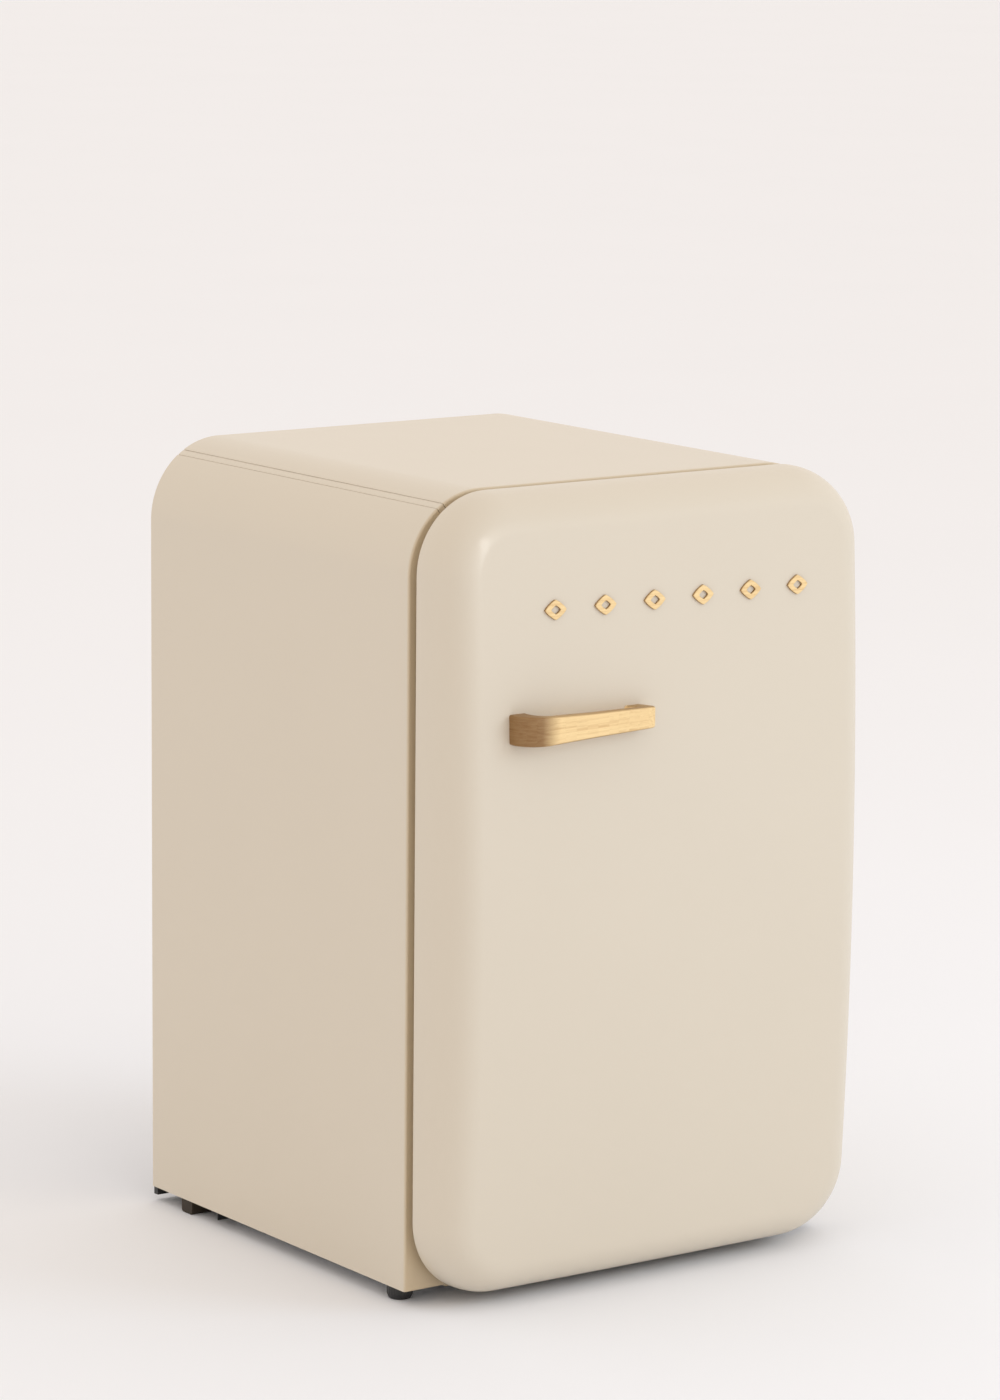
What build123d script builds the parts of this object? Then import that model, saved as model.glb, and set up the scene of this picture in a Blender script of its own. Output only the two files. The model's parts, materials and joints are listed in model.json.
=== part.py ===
from build123d import *
import math
import os

os.makedirs("parts", exist_ok=True)

# A retro under-counter mini fridge: a foam-filled steel cabinet with a rounded top, a crowned
# full-height door hung on the right, and its cooling machinery in a bay at the lower back.
# Units are millimetres. X is to the right, Y to the back, Z up. The origin is the centre of the
# overall box on the floor. Depths are counted back from the cabinet's front face.

# ---- overall sizes ----
width = 550.0
height = 860.0
cabinet_depth = 500.0
panel_bottom = 16.0
corner_radius = 88.0

# ---- door ----
door_gap = 13.0
door_thickness = 74.0
door_bottom = 11.0
door_corner_radius = 84.0
door_crown = 16.0
door_edge_roll = 46.0
door_opening = 120.0

# ---- walls and general clearances ----
sheet = 1.5
liner_wall = 2.0
running_clearance = 0.1
body_clearance = 0.4
slide_clearance = 1.0

# ---- cabinet skin ----
seam_top_angle = 121.0
seam_side_angle = 127.0
seam_lap_angle = 112.0
seam_grip_angle = 131.0
flange_seam_angle = 124.0
flange_width = 52.0
side_return = 10.0
rail_bottom = 14.0
rail_return = 20.0

# ---- cold space ----
lip_width = 6.0
cavity_floor = 95.0
cavity_depth = 442.0
cavity_corner = 30.0
step_front = 290.0
step_top = 290.0
rib_reach = 8.0
rib_height = 6.0
furniture_front = 118.0
furniture_back = 430.0

# ---- shelves ----
shelf_glass = 4.0
upper_shelf_z = 470.0
lower_shelf_z = 302.0
shelf_trim_depth = 9.0
shelf_trim_height = 12.0

# ---- drip tray ----
tray_z = 640.0
tray_height = 28.0
tray_wall = 2.5
tray_back = 400.0

# ---- ice box ----
ice_box_from_left = 17.0
ice_box_from_right = 131.0
ice_box_low = 690.0
ice_box_high = 788.0
ice_box_wall = 2.0
ice_box_back = 400.0
ice_frame_depth = 9.0
ice_frame_width = 6.0
ice_flap_thickness = 3.0
ice_flap_pivot_height = 5.0
ice_pin_radius = 2.5
ice_pin_length = 4.0
hanger_radius = 6.0
hanger_inset = 20.0

# ---- thermostat, lamp and door switch ----
thermostat_front = 132.0
thermostat_length = 116.0
thermostat_depth = 30.0
thermostat_low = 684.0
thermostat_tall = 86.0
thermostat_wall = 2.5
knob_radius = 20.0
knob_length = 14.0
knob_from_front = 34.0
knob_shaft_radius = 3.0
lamp_length = 42.0
lamp_height = 50.0
lamp_thickness = 5.0
switch_x = 150.0
switch_below_flange = 6.5
plunger_radius = 4.0
plunger_travel = 4.0
plunger_play = 3.0
switch_body_size = 16.0
switch_body_depth = 30.0

# ---- machine bay ----
bay_front = 338.0
bay_top = 238.0
shield = 1.0
tray_front = 366.0
tray_drop = 9.0
rear_hem = 8.0
rear_foot_wide = 40.0
rear_foot_long = 22.0
rear_foot_from_back = 58.0
rear_foot_round = 4.0

# ---- front feet ----
foot_from_side = 17.0
foot_from_front = 33.0
foot_radius = 13.5
foot_base_radius = 12.5
foot_height = 15.0
stud_radius = 4.0
stud_top = 40.0
insert_radius = 9.0
insert_top = 45.0

# ---- compressor ----
compressor_x = 40.0
compressor_radius = 70.0
compressor_bottom = 34.0
compressor_wall_top = 135.0
compressor_top = 172.0
compressor_seam_z = 95.0
compressor_round = 21.0
compressor_seam_reach = 3.0
plate_wide = 200.0
plate_long = 116.0
plate_thickness = 3.0
bolt_spread_x = 170.0
bolt_spread_y = 90.0
bolt_radius = 4.0
bolt_head_radius = 7.0
bolt_head_height = 5.0
grommet_radius = 10.0
terminal_size = 60.0
terminal_reach = 30.0
terminal_z = 85.0

# ---- condenser and pipes ----
condenser_stand_off = 22.0
condenser_pipe = 2.4
condenser_wire = 0.8
condenser_from_side = 70.0
return_from_side = 53.0
condenser_low = 270.0
condenser_high = 790.0
condenser_rows = 11
condenser_bend = 20.0
wire_count = 31
wire_margin = 10.0
wire_overhang = 12.0
bracket_wide = 8.0
bracket_tall = 7.0
pipe_end_z = 244.0
pipe_bend = 14.0
suction_pipe = 4.0
suction_x = -110.0
suction_z = 120.0
discharge_z = 142.0
drier_radius = 9.0
drier_low = 120.0
drier_high = 200.0
drier_from_back = 25.0
return_pipe_z = 222.0
capillary_pipe = 1.5
capillary_reach = 52.0
capillary_low = 95.0
pan_wide = 150.0
pan_long = 110.0
pan_height = 22.0
pan_floor = 176.0
pan_wall = 2.0
drain_radius = 7.0
drain_bore = 5.0
drain_depth = 420.0
drain_above_floor = 12.0
gland_radius = 9.0
gland_bore = 3.5
gland_from_side = 43.0
gland_plate = 30.0
gland_from_back = 20.0
gland_length = 16.0

# ---- door lining ----
door_return = 14.0
gasket_from_edge = 18.0
gasket_width = 20.0
gasket_groove = 3.0
seal_clearance = 0.4
dyke_from_wall = 18.0
dyke_width = 24.0
dyke_rise = 25.0
dyke_corner = 26.0

# ---- door bins ----
bin_levels = {"lower_bin": (142.0, 96.0), "middle_bin": (342.0, 72.0), "upper_bin": (500.0, 72.0)}
bin_reach = 80.0
bin_wall = 2.5
bin_corner = 12.0
lug_reach = 8.0
lug_height = 10.0
lug_length = 18.0
ear_height = 5.0
ear_below_rim = 20.0

# ---- hinges ----
pin_from_side = 11.0
pin_from_front = 38.0
pin_radius = 3.0
pin_depth = 16.0
leaf_thickness = 4.0
leaf_half_width = 6.0
hinge_plate_thickness = 3.0
hinge_plate_wide = 13.0
hinge_plate_tall = 50.0
hinge_plate_from_side = 2.0
upper_leaf_z = 740.0
lower_leaf_z = 130.0
slot_clearance = 1.2
socket_radius = 7.5
socket_length = 24.0
screw_radius = 2.0
screw_head_radius = 4.0
screw_head_height = 1.6
screw_length = 14.0
screw_spread = 34.0

# ---- handle and front trim ----
handle_left = -205.0
handle_right = -25.5
handle_z = 621.0
handle_proud = 31.0
handle_right_setback = 13.0
handle_left_height = 32.0
handle_right_height = 22.0
handle_bar = 9.0
handle_left_foot = 22.0
handle_right_foot = 32.0
handle_left_bend = 28.0
handle_right_bend = 14.0
handle_inner_bend = 12.0
handle_edge = 2.0
handle_screw_radius = 2.5
handle_screw_head = 5.0
handle_screw_head_height = 3.0
handle_screw_depth = 12.0
badge_count = 6
badge_first_x = -146.0
badge_pitch = 63.4
badge_z = 740.0
badge_wide = 27.0
badge_tall = 21.0
badge_stroke = 5.0
badge_proud = 2.5

# ---- derived places ----
condenser_reach = condenser_stand_off + condenser_pipe + 2 * condenser_wire
front_reach = door_gap + door_thickness + handle_proud
front = front_reach - (front_reach + cabinet_depth + condenser_reach) / 2
rear = front + cabinet_depth
half = width / 2
cavity_half = half - flange_width - lip_width
cavity_ceiling = height - flange_width - lip_width
floor_low = panel_bottom + sheet
floor_top = floor_low + sheet
dyke_half = cavity_half - dyke_from_wall
dyke_low = cavity_floor + dyke_from_wall
dyke_high = cavity_ceiling - dyke_from_wall
bin_half = dyke_half - dyke_width - lug_reach - slide_clearance
pin_x = half - pin_from_side
pin_y = front - pin_from_front
plunger_z = height - flange_width + switch_below_flange
compressor_y = front + (bay_front + cabinet_depth) / 2
condenser_y = rear + condenser_stand_off
drier_y = rear - drier_from_back
condenser_half_width = half - condenser_from_side
condenser_return_x = return_from_side - half
capillary_x = condenser_return_x + capillary_reach
wire_pitch = 2 * (condenser_half_width - wire_margin) / (wire_count - 1)
bracket_x = condenser_half_width - wire_margin - 1.5 * wire_pitch
gland_x = half - gland_from_side
ice_box_left = ice_box_from_left - cavity_half
ice_box_right = cavity_half - ice_box_from_right
both_sides = (-1, 1)


def facing(depth):
    """A plane parallel to the cabinet's front at this depth, looking out of the front."""
    return Plane(origin=(0, front + depth, 0), x_dir=(1, 0, 0), z_dir=(0, -1, 0))


def rounded_rectangle(half_width, low, high, radius):
    """An upright rectangle about the centre line with all four corners rounded."""
    with BuildSketch() as outline:
        with Locations((0, low)):
            Rectangle(2 * half_width, high - low, align=(Align.CENTER, Align.MIN))
        fillet(outline.vertices(), radius)
    return outline.sketch


def cabinet_outline(inset):
    """The cabinet's front view, rounded at the top and open-cornered at the bottom."""
    with BuildSketch() as outline:
        with Locations((0, panel_bottom)):
            Rectangle(width - 2 * inset, height - inset - panel_bottom, align=(Align.CENTER, Align.MIN))
        fillet(outline.vertices().group_by(Axis.Y)[-1], corner_radius - inset)
    return outline.sketch


def door_outline(inset):
    return rounded_rectangle(half - inset, door_bottom + inset, height - inset, door_corner_radius - inset)


def lip_outline(inset):
    """The edge of the cold space's mouth, counted inwards from the steel flange's inner edge."""
    return rounded_rectangle(
        cavity_half + lip_width - inset,
        cavity_floor - lip_width + inset,
        cavity_ceiling + lip_width - inset,
        cavity_corner + lip_width - inset,
    )


def dyke_outline(inset):
    """The raised ridge round the door's storage, inset from its outer edge."""
    corner = max(dyke_corner - inset, liner_wall)
    return rounded_rectangle(dyke_half - inset, dyke_low + inset, dyke_high - inset, corner)


def polygon(*points):
    with BuildSketch() as area:
        with BuildLine():
            Polyline(*points, close=True)
        make_face()
    return area.sketch


def arc_point(angle, reach=3.0):
    """A point on the ray at this angle from the centre of the cabinet's top left arc."""
    turn = math.radians(angle)
    return (
        corner_radius - half + reach * corner_radius * math.cos(turn),
        height - corner_radius + reach * corner_radius * math.sin(turn),
    )


def side_zone(angle):
    """All of the front view to the left of the flange's inner edge and of a seam at this angle."""
    inner = flange_width - half
    tip = arc_point(angle)
    centre = arc_point(angle, 0)
    return polygon((inner, 0), (inner, centre[1]), centre, tip, (-width, tip[1]), (-width, 0))


def top_zone(angle):
    """All of the front view above a left seam at this angle and the matching right seam."""
    centre = arc_point(angle, 0)
    tip = arc_point(angle)
    return polygon(centre, tip, (-tip[0], tip[1]), (-centre[0], centre[1]))


def cavity_block(grow):
    """The cold space grown by this much, with the step over the machine bay left out."""
    with BuildPart() as block:
        with BuildSketch(facing(0)):
            add(rounded_rectangle(
                cavity_half + grow, cavity_floor - grow, cavity_ceiling + grow, cavity_corner + grow
            ))
        extrude(amount=-(cavity_depth + grow))
        with BuildSketch(Plane.YZ):
            with Locations((front + step_front + grow, 0)):
                Rectangle(cavity_depth, step_top - grow, align=(Align.MIN, Align.MIN))
        extrude(amount=width, both=True, mode=Mode.SUBTRACT)
    return block.part


def door_block(inset):
    """The door's solid, crowned from top to bottom and rolled round its front edge, shrunk by inset."""
    half_height = (height - door_bottom) / 2
    middle = (height + door_bottom) / 2
    radius = (half_height**2 + door_crown**2) / (2 * door_crown) - inset
    apex = front - door_gap - door_thickness + inset
    over = half_height + 2 * sheet
    spread = math.degrees(math.asin(over / radius))
    with BuildPart() as block:
        with BuildSketch(Plane.YZ):
            with BuildLine():
                crown = CenterArc((apex + radius, middle), radius, 180 - spread, 2 * spread)
                Polyline(
                    crown @ 1, (front - door_gap, middle - over), (front - door_gap, middle + over), crown @ 0
                )
            make_face()
        extrude(amount=half + 2 * sheet, both=True)
        with BuildSketch(facing(-door_gap)):
            add(door_outline(inset))
        extrude(amount=2 * door_thickness, mode=Mode.INTERSECT)
        fillet(block.faces().sort_by(Axis.Y)[0].edges(), door_edge_roll - inset)
    return block.part


def hinge_slot(leaf_z):
    """The room a hinge leaf needs in the door as the door swings round it."""
    reach = 2 * pin_from_front
    edge = leaf_half_width + slide_clearance
    last = math.radians(90 - door_opening)
    side = (edge * math.sin(last), -edge * math.cos(last))
    far = (reach * math.cos(last) + side[0], reach * math.sin(last) + side[1])
    with BuildPart() as slot:
        with BuildSketch(Plane(origin=(pin_x, pin_y, leaf_z - slot_clearance))):
            Circle(edge)
            add(polygon(side, far, (reach, reach), (-edge, reach), (-edge, 0)))
        extrude(amount=leaf_thickness + 2 * slot_clearance)
    return slot.part


def pipe_run(radius, bend, *points):
    """A round pipe along straight runs joined by tangent bends."""
    with BuildPart() as pipe:
        with BuildLine() as route:
            FilletPolyline(*points, radius=bend)
        with BuildSketch(Plane(origin=points[0], z_dir=route.line % 0)):
            Circle(radius)
        sweep(path=route.line)
    return pipe.part


# ======== cabinet skin ========

with BuildPart() as left_side_panel:
    with BuildSketch(facing(0)):
        add(cabinet_outline(0))
        add(cabinet_outline(sheet), mode=Mode.SUBTRACT)
        add(side_zone(seam_side_angle), mode=Mode.INTERSECT)
    extrude(amount=-cabinet_depth)
    with BuildSketch(facing(0)):
        add(cabinet_outline(sheet))
        add(cabinet_outline(2 * sheet), mode=Mode.SUBTRACT)
        add(
            polygon(arc_point(0, 0), arc_point(seam_lap_angle), arc_point(seam_grip_angle)),
            mode=Mode.INTERSECT,
        )
    extrude(amount=-cabinet_depth)
    with BuildSketch(facing(0)):
        add(cabinet_outline(sheet))
        add(lip_outline(0), mode=Mode.SUBTRACT)
        add(side_zone(flange_seam_angle), mode=Mode.INTERSECT)
    extrude(amount=-sheet)
    with Locations((sheet - half, front, panel_bottom)):
        Box(side_return, cabinet_depth, sheet, align=(Align.MIN, Align.MIN, Align.MIN))

with BuildPart() as top_panel:
    with BuildSketch(facing(0)):
        add(cabinet_outline(0))
        add(cabinet_outline(sheet), mode=Mode.SUBTRACT)
        add(top_zone(seam_top_angle), mode=Mode.INTERSECT)
    extrude(amount=-cabinet_depth)
    with BuildSketch(facing(0)):
        add(cabinet_outline(sheet))
        add(lip_outline(0), mode=Mode.SUBTRACT)
        add(top_zone(flange_seam_angle), mode=Mode.INTERSECT)
    extrude(amount=-sheet)
    with Locations((switch_x, front, plunger_z)):
        Cylinder(plunger_radius + running_clearance, 4 * sheet, rotation=(90, 0, 0), mode=Mode.SUBTRACT)
    add(left_side_panel.part, mode=Mode.SUBTRACT)
    add(mirror(left_side_panel.part, about=Plane.YZ, mode=Mode.PRIVATE), mode=Mode.SUBTRACT)

with BuildPart() as front_rail:
    with BuildSketch(facing(0)):
        with Locations((0, rail_bottom)):
            Rectangle(
                width - 2 * flange_width,
                cavity_floor + cavity_corner - rail_bottom,
                align=(Align.CENTER, Align.MIN),
            )
        add(lip_outline(0), mode=Mode.SUBTRACT)
    extrude(amount=-sheet)
    with Locations((0, front + sheet, rail_bottom)):
        Box(width - 2 * flange_width, rail_return, sheet, align=(Align.CENTER, Align.MIN, Align.MIN))

front_rail.part.label = "front_rail"
export_step(front_rail.part, "parts/front_rail.step")

with BuildPart() as rear_panel:
    with BuildSketch(facing(cabinet_depth)):
        add(cabinet_outline(sheet))
        with Locations((0, 0)):
            Rectangle(2 * width, 2 * (bay_top + shield), mode=Mode.SUBTRACT)
    extrude(amount=sheet)
    add(left_side_panel.part, mode=Mode.SUBTRACT)
    add(mirror(left_side_panel.part, about=Plane.YZ, mode=Mode.PRIVATE), mode=Mode.SUBTRACT)

# ======== hinges ========

hinge_levels = ((upper_leaf_z, -1), (lower_leaf_z, 1))
screw_x = half - hinge_plate_from_side - hinge_plate_wide / 2

with BuildPart() as hinge_screws:
    for leaf_z, _ in hinge_levels:
        for side in both_sides:
            with BuildSketch(facing(-hinge_plate_thickness)):
                with Locations((screw_x, leaf_z + leaf_thickness / 2 + side * screw_spread / 2)):
                    Circle(screw_head_radius)
            extrude(amount=screw_head_height)
            with BuildSketch(facing(-hinge_plate_thickness)):
                with Locations((screw_x, leaf_z + leaf_thickness / 2 + side * screw_spread / 2)):
                    Circle(screw_radius)
            extrude(amount=-screw_length)

hinge_screws.part.label = "hinge_screws"
export_step(hinge_screws.part, "parts/hinge_screws.step")

with BuildPart() as hinge_pins:
    for leaf_z, direction in hinge_levels:
        start = leaf_z if direction > 0 else leaf_z + leaf_thickness
        with BuildSketch(Plane(origin=(pin_x, pin_y, start))):
            Circle(pin_radius)
        extrude(amount=direction * (leaf_thickness + slot_clearance + pin_depth))

hinge_pins.part.label = "hinge_pins"
export_step(hinge_pins.part, "parts/hinge_pins.step")

for name, (leaf_z, _) in zip(("upper_hinge_bracket", "lower_hinge_bracket"), hinge_levels):
    with BuildPart() as bracket:
        with Locations((half - hinge_plate_from_side, front, leaf_z + leaf_thickness / 2)):
            Box(
                hinge_plate_wide, hinge_plate_thickness, hinge_plate_tall,
                align=(Align.MAX, Align.MAX, Align.CENTER),
            )
        with BuildSketch(Plane(origin=(pin_x, pin_y, leaf_z))):
            Circle(leaf_half_width)
            Rectangle(2 * leaf_half_width, pin_from_front, align=(Align.CENTER, Align.MIN))
        extrude(amount=leaf_thickness)
        add(hinge_pins.part, mode=Mode.SUBTRACT)
        add(hinge_screws.part, mode=Mode.SUBTRACT)
    bracket.part.label = name
    export_step(bracket.part, f"parts/{name}.step")

with BuildPart() as right_side_panel:
    add(mirror(left_side_panel.part, about=Plane.YZ, mode=Mode.PRIVATE))
    add(hinge_screws.part, mode=Mode.SUBTRACT)

left_side_panel.part.label = "left_side_panel"
export_step(left_side_panel.part, "parts/left_side_panel.step")
right_side_panel.part.label = "right_side_panel"
export_step(right_side_panel.part, "parts/right_side_panel.step")
top_panel.part.label = "top_panel"
export_step(top_panel.part, "parts/top_panel.step")
rear_panel.part.label = "rear_panel"
export_step(rear_panel.part, "parts/rear_panel.step")

# ======== floor of the cabinet, and feet ========

foot_places = [(side * (half - foot_from_side), front + foot_from_front) for side in both_sides]
floor_half = half - sheet

with BuildPart() as foot_inserts:
    for x, y in foot_places:
        with BuildSketch(Plane(origin=(x, y, floor_low))):
            Circle(insert_radius)
            Circle(stud_radius + running_clearance, mode=Mode.SUBTRACT)
        extrude(amount=insert_top - floor_low)

foot_inserts.part.label = "foot_inserts"
export_step(foot_inserts.part, "parts/foot_inserts.step")

for name, (x, y) in zip(("left_front_foot", "right_front_foot"), foot_places):
    with BuildPart() as foot:
        with BuildSketch(Plane(origin=(x, y, 0), x_dir=(1, 0, 0), z_dir=(0, -1, 0))):
            with BuildLine():
                Polyline(
                    (0, 0), (foot_base_radius, 0), (foot_radius, foot_height / 3),
                    (foot_radius, foot_height), (stud_radius, foot_height), (stud_radius, stud_top),
                    (0, stud_top), close=True,
                )
            make_face()
        revolve(axis=Axis((x, y, 0), (0, 0, 1)))
    foot.part.label = name
    export_step(foot.part, f"parts/{name}.step")

with BuildPart() as bottom_panel:
    with Locations((0, front + sheet, floor_low)):
        Box(2 * floor_half, tray_front - sheet, sheet, align=(Align.CENTER, Align.MIN, Align.MIN))
    for x, y in foot_places:
        with Locations((x, y, floor_low)):
            Cylinder(insert_radius, 4 * sheet, mode=Mode.SUBTRACT)

bottom_panel.part.label = "bottom_panel"
export_step(bottom_panel.part, "parts/bottom_panel.step")

with BuildPart() as compressor_tray:
    with Locations((0, front + tray_front, floor_low)):
        Box(2 * floor_half, cabinet_depth - tray_front, sheet, align=(Align.CENTER, Align.MIN, Align.MIN))
    for start, thick in ((tray_front, sheet), (cabinet_depth - rear_hem, rear_hem)):
        with Locations((0, front + start, panel_bottom - tray_drop)):
            Box(2 * floor_half, thick, tray_drop, align=(Align.CENTER, Align.MIN, Align.MIN))
        with Locations((0, front + start, panel_bottom)):
            Box(2 * (floor_half - side_return), thick, sheet, align=(Align.CENTER, Align.MIN, Align.MIN))

compressor_tray.part.label = "compressor_tray"
export_step(compressor_tray.part, "parts/compressor_tray.step")

with BuildPart() as rear_feet:
    for side in both_sides:
        foot_x = side * (floor_half - rear_foot_wide / 2)
        with BuildSketch(Plane(origin=(foot_x, rear - rear_foot_from_back, 0))):
            Rectangle(rear_foot_wide, rear_foot_long, align=(Align.CENTER, Align.MAX))
        extrude(amount=panel_bottom)
    fillet(rear_feet.edges().filter_by(Axis.X).group_by(Axis.Z)[0], rear_foot_round)

rear_feet.part.label = "rear_feet"
export_step(rear_feet.part, "parts/rear_feet.step")

# ======== machine bay ========

with BuildPart() as bay_shield:
    with Locations((0, front + bay_front, floor_top)):
        Box(
            2 * floor_half, shield, bay_top + shield - floor_top,
            align=(Align.CENTER, Align.MIN, Align.MIN),
        )
    with Locations((0, front + bay_front, bay_top)):
        Box(2 * floor_half, cabinet_depth - bay_front, shield, align=(Align.CENTER, Align.MIN, Align.MIN))
    with Locations((compressor_x, front + drain_depth, bay_top)):
        Cylinder(drain_radius, 4 * shield, mode=Mode.SUBTRACT)

bay_shield.part.label = "bay_shield"
export_step(bay_shield.part, "parts/bay_shield.step")

with BuildPart() as compressor_bolts:
    with Locations((compressor_x, compressor_y, floor_top)):
        with GridLocations(bolt_spread_x, bolt_spread_y, 2, 2):
            Cylinder(
                bolt_radius, compressor_bottom - floor_top, align=(Align.CENTER, Align.CENTER, Align.MIN)
            )
    with Locations((compressor_x, compressor_y, compressor_bottom)):
        with GridLocations(bolt_spread_x, bolt_spread_y, 2, 2):
            Cylinder(bolt_head_radius, bolt_head_height, align=(Align.CENTER, Align.CENTER, Align.MIN))

compressor_bolts.part.label = "compressor_bolts"
export_step(compressor_bolts.part, "parts/compressor_bolts.step")

with BuildPart() as compressor_grommets:
    with Locations((compressor_x, compressor_y, floor_top)):
        with GridLocations(bolt_spread_x, bolt_spread_y, 2, 2):
            Cylinder(
                grommet_radius, compressor_bottom - plate_thickness - floor_top,
                align=(Align.CENTER, Align.CENTER, Align.MIN),
            )
    add(compressor_bolts.part, mode=Mode.SUBTRACT)

compressor_grommets.part.label = "compressor_grommets"
export_step(compressor_grommets.part, "parts/compressor_grommets.step")

with BuildPart() as compressor:
    with BuildSketch(Plane(origin=(compressor_x, compressor_y, 0), x_dir=(1, 0, 0), z_dir=(0, -1, 0))):
        with BuildLine():
            base = Line((0, compressor_bottom), (compressor_radius - compressor_round, compressor_bottom))
            curve = TangentArc(
                base @ 1, (compressor_radius, compressor_bottom + compressor_round), tangent=(1, 0)
            )
            wall = Line(curve @ 1, (compressor_radius, compressor_wall_top))
            dome = Spline(wall @ 1, (0, compressor_top), tangents=((0, 1), (-1, 0)))
            Line(dome @ 1, base @ 0)
        make_face()
        with Locations((0, compressor_seam_z)):
            Rectangle(
                compressor_radius + compressor_seam_reach, 2 * compressor_seam_reach,
                align=(Align.MIN, Align.CENTER),
            )
    revolve(axis=Axis((compressor_x, compressor_y, 0), (0, 0, 1)))
    with Locations((compressor_x, compressor_y, compressor_bottom)):
        Box(plate_wide, plate_long, plate_thickness, align=(Align.CENTER, Align.CENTER, Align.MAX))
    add(compressor_bolts.part, mode=Mode.SUBTRACT)

compressor.part.label = "compressor"
export_step(compressor.part, "parts/compressor.step")

with BuildPart() as terminal_cover:
    with Locations((compressor_x, compressor_y, terminal_z)):
        Box(
            compressor_radius + terminal_reach, terminal_size, terminal_size,
            align=(Align.MIN, Align.CENTER, Align.CENTER),
        )
    fillet(terminal_cover.faces().sort_by(Axis.X)[-1].edges(), 2 * sheet)
    add(compressor.part, mode=Mode.SUBTRACT)
    with Locations((compressor_x, compressor_y, terminal_z)):
        Cylinder(compressor_radius, 2 * terminal_size, mode=Mode.SUBTRACT)

terminal_cover.part.label = "terminal_cover"
export_step(terminal_cover.part, "parts/terminal_cover.step")

with BuildPart() as evaporation_pan:
    with BuildSketch(Plane(origin=(compressor_x, compressor_y, pan_floor))):
        RectangleRounded(pan_wide, pan_long, 5 * pan_wall)
    extrude(amount=pan_height)
    with BuildSketch(Plane(origin=(compressor_x, compressor_y, pan_floor + pan_wall))):
        RectangleRounded(pan_wide - 2 * pan_wall, pan_long - 2 * pan_wall, 4 * pan_wall)
    extrude(amount=pan_height, mode=Mode.SUBTRACT)
    with Locations((compressor_x, compressor_y, pan_floor)):
        Cylinder(
            compressor_radius / 2, pan_floor - compressor_wall_top,
            align=(Align.CENTER, Align.CENTER, Align.MAX),
        )
    add(compressor.part, mode=Mode.SUBTRACT)

evaporation_pan.part.label = "evaporation_pan"
export_step(evaporation_pan.part, "parts/evaporation_pan.step")

drain_low = pan_floor + drain_above_floor
with BuildPart() as drain_tube:
    with BuildSketch(Plane(origin=(compressor_x, front + drain_depth, drain_low))):
        Circle(drain_radius)
        Circle(drain_bore, mode=Mode.SUBTRACT)
    extrude(amount=step_top - drain_low)

drain_tube.part.label = "drain_tube"
export_step(drain_tube.part, "parts/drain_tube.step")

# ======== condenser and pipes ========

row_pitch = (condenser_high - condenser_low) / (condenser_rows - 1)
pipe_route = [(condenser_half_width, condenser_y, pipe_end_z)]
for row in range(condenser_rows):
    side = 1 if row % 2 == 0 else -1
    z = condenser_low + row * row_pitch
    last_row = row == condenser_rows - 1
    pipe_route.append((side * condenser_half_width, condenser_y, z))
    pipe_route.append((condenser_return_x if last_row else -side * condenser_half_width, condenser_y, z))
pipe_route.append((condenser_return_x, condenser_y, pipe_end_z))

with BuildPart() as condenser_pipe_coil:
    add(pipe_run(condenser_pipe, condenser_bend, *pipe_route))

condenser_pipe_coil.part.label = "condenser_pipe"
export_step(condenser_pipe_coil.part, "parts/condenser_pipe.step")

with BuildPart() as condenser_wires:
    for side in both_sides:
        wire_y = condenser_y + side * (condenser_pipe + condenser_wire)
        with Locations((0, wire_y, condenser_low - wire_overhang)):
            with GridLocations(wire_pitch, 1, wire_count, 1):
                Cylinder(
                    condenser_wire, condenser_high - condenser_low + 2 * wire_overhang,
                    align=(Align.CENTER, Align.CENTER, Align.MIN),
                )

condenser_wires.part.label = "condenser_wires"
export_step(condenser_wires.part, "parts/condenser_wires.step")

with BuildPart() as condenser_brackets:
    for side in both_sides:
        for row in (1, condenser_rows - 2):
            with Locations((side * bracket_x, rear, condenser_low + row * row_pitch)):
                Box(
                    bracket_wide, condenser_stand_off, bracket_tall,
                    align=(Align.CENTER, Align.MIN, Align.CENTER),
                )
    add(condenser_pipe_coil.part, mode=Mode.SUBTRACT)

condenser_brackets.part.label = "condenser_brackets"
export_step(condenser_brackets.part, "parts/condenser_brackets.step")

with BuildPart() as filter_drier:
    with BuildSketch(Plane(origin=(condenser_return_x, drier_y, 0), x_dir=(1, 0, 0), z_dir=(0, -1, 0))):
        with BuildLine():
            Polyline(
                (0, drier_low), (drier_radius / 2, drier_low), (drier_radius, drier_low + drier_radius),
                (drier_radius, drier_high - drier_radius), (drier_radius / 2, drier_high), (0, drier_high),
                close=True,
            )
        make_face()
    revolve(axis=Axis((condenser_return_x, drier_y, 0), (0, 0, 1)))

filter_drier.part.label = "filter_drier"
export_step(filter_drier.part, "parts/filter_drier.step")

with BuildPart() as return_pipe:
    add(pipe_run(
        condenser_pipe, pipe_bend / 2,
        (condenser_return_x, condenser_y, pipe_end_z), (condenser_return_x, condenser_y, return_pipe_z),
        (condenser_return_x, drier_y, return_pipe_z), (condenser_return_x, drier_y, drier_high),
    ))

return_pipe.part.label = "return_pipe"
export_step(return_pipe.part, "parts/return_pipe.step")

with BuildPart() as capillary_pipe_run:
    add(pipe_run(
        capillary_pipe, pipe_bend / 2,
        (condenser_return_x, drier_y, drier_low), (condenser_return_x, drier_y, capillary_low),
        (capillary_x, drier_y, capillary_low), (capillary_x, drier_y, bay_top),
    ))

capillary_pipe_run.part.label = "capillary_pipe"
export_step(capillary_pipe_run.part, "parts/capillary_pipe.step")

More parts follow.
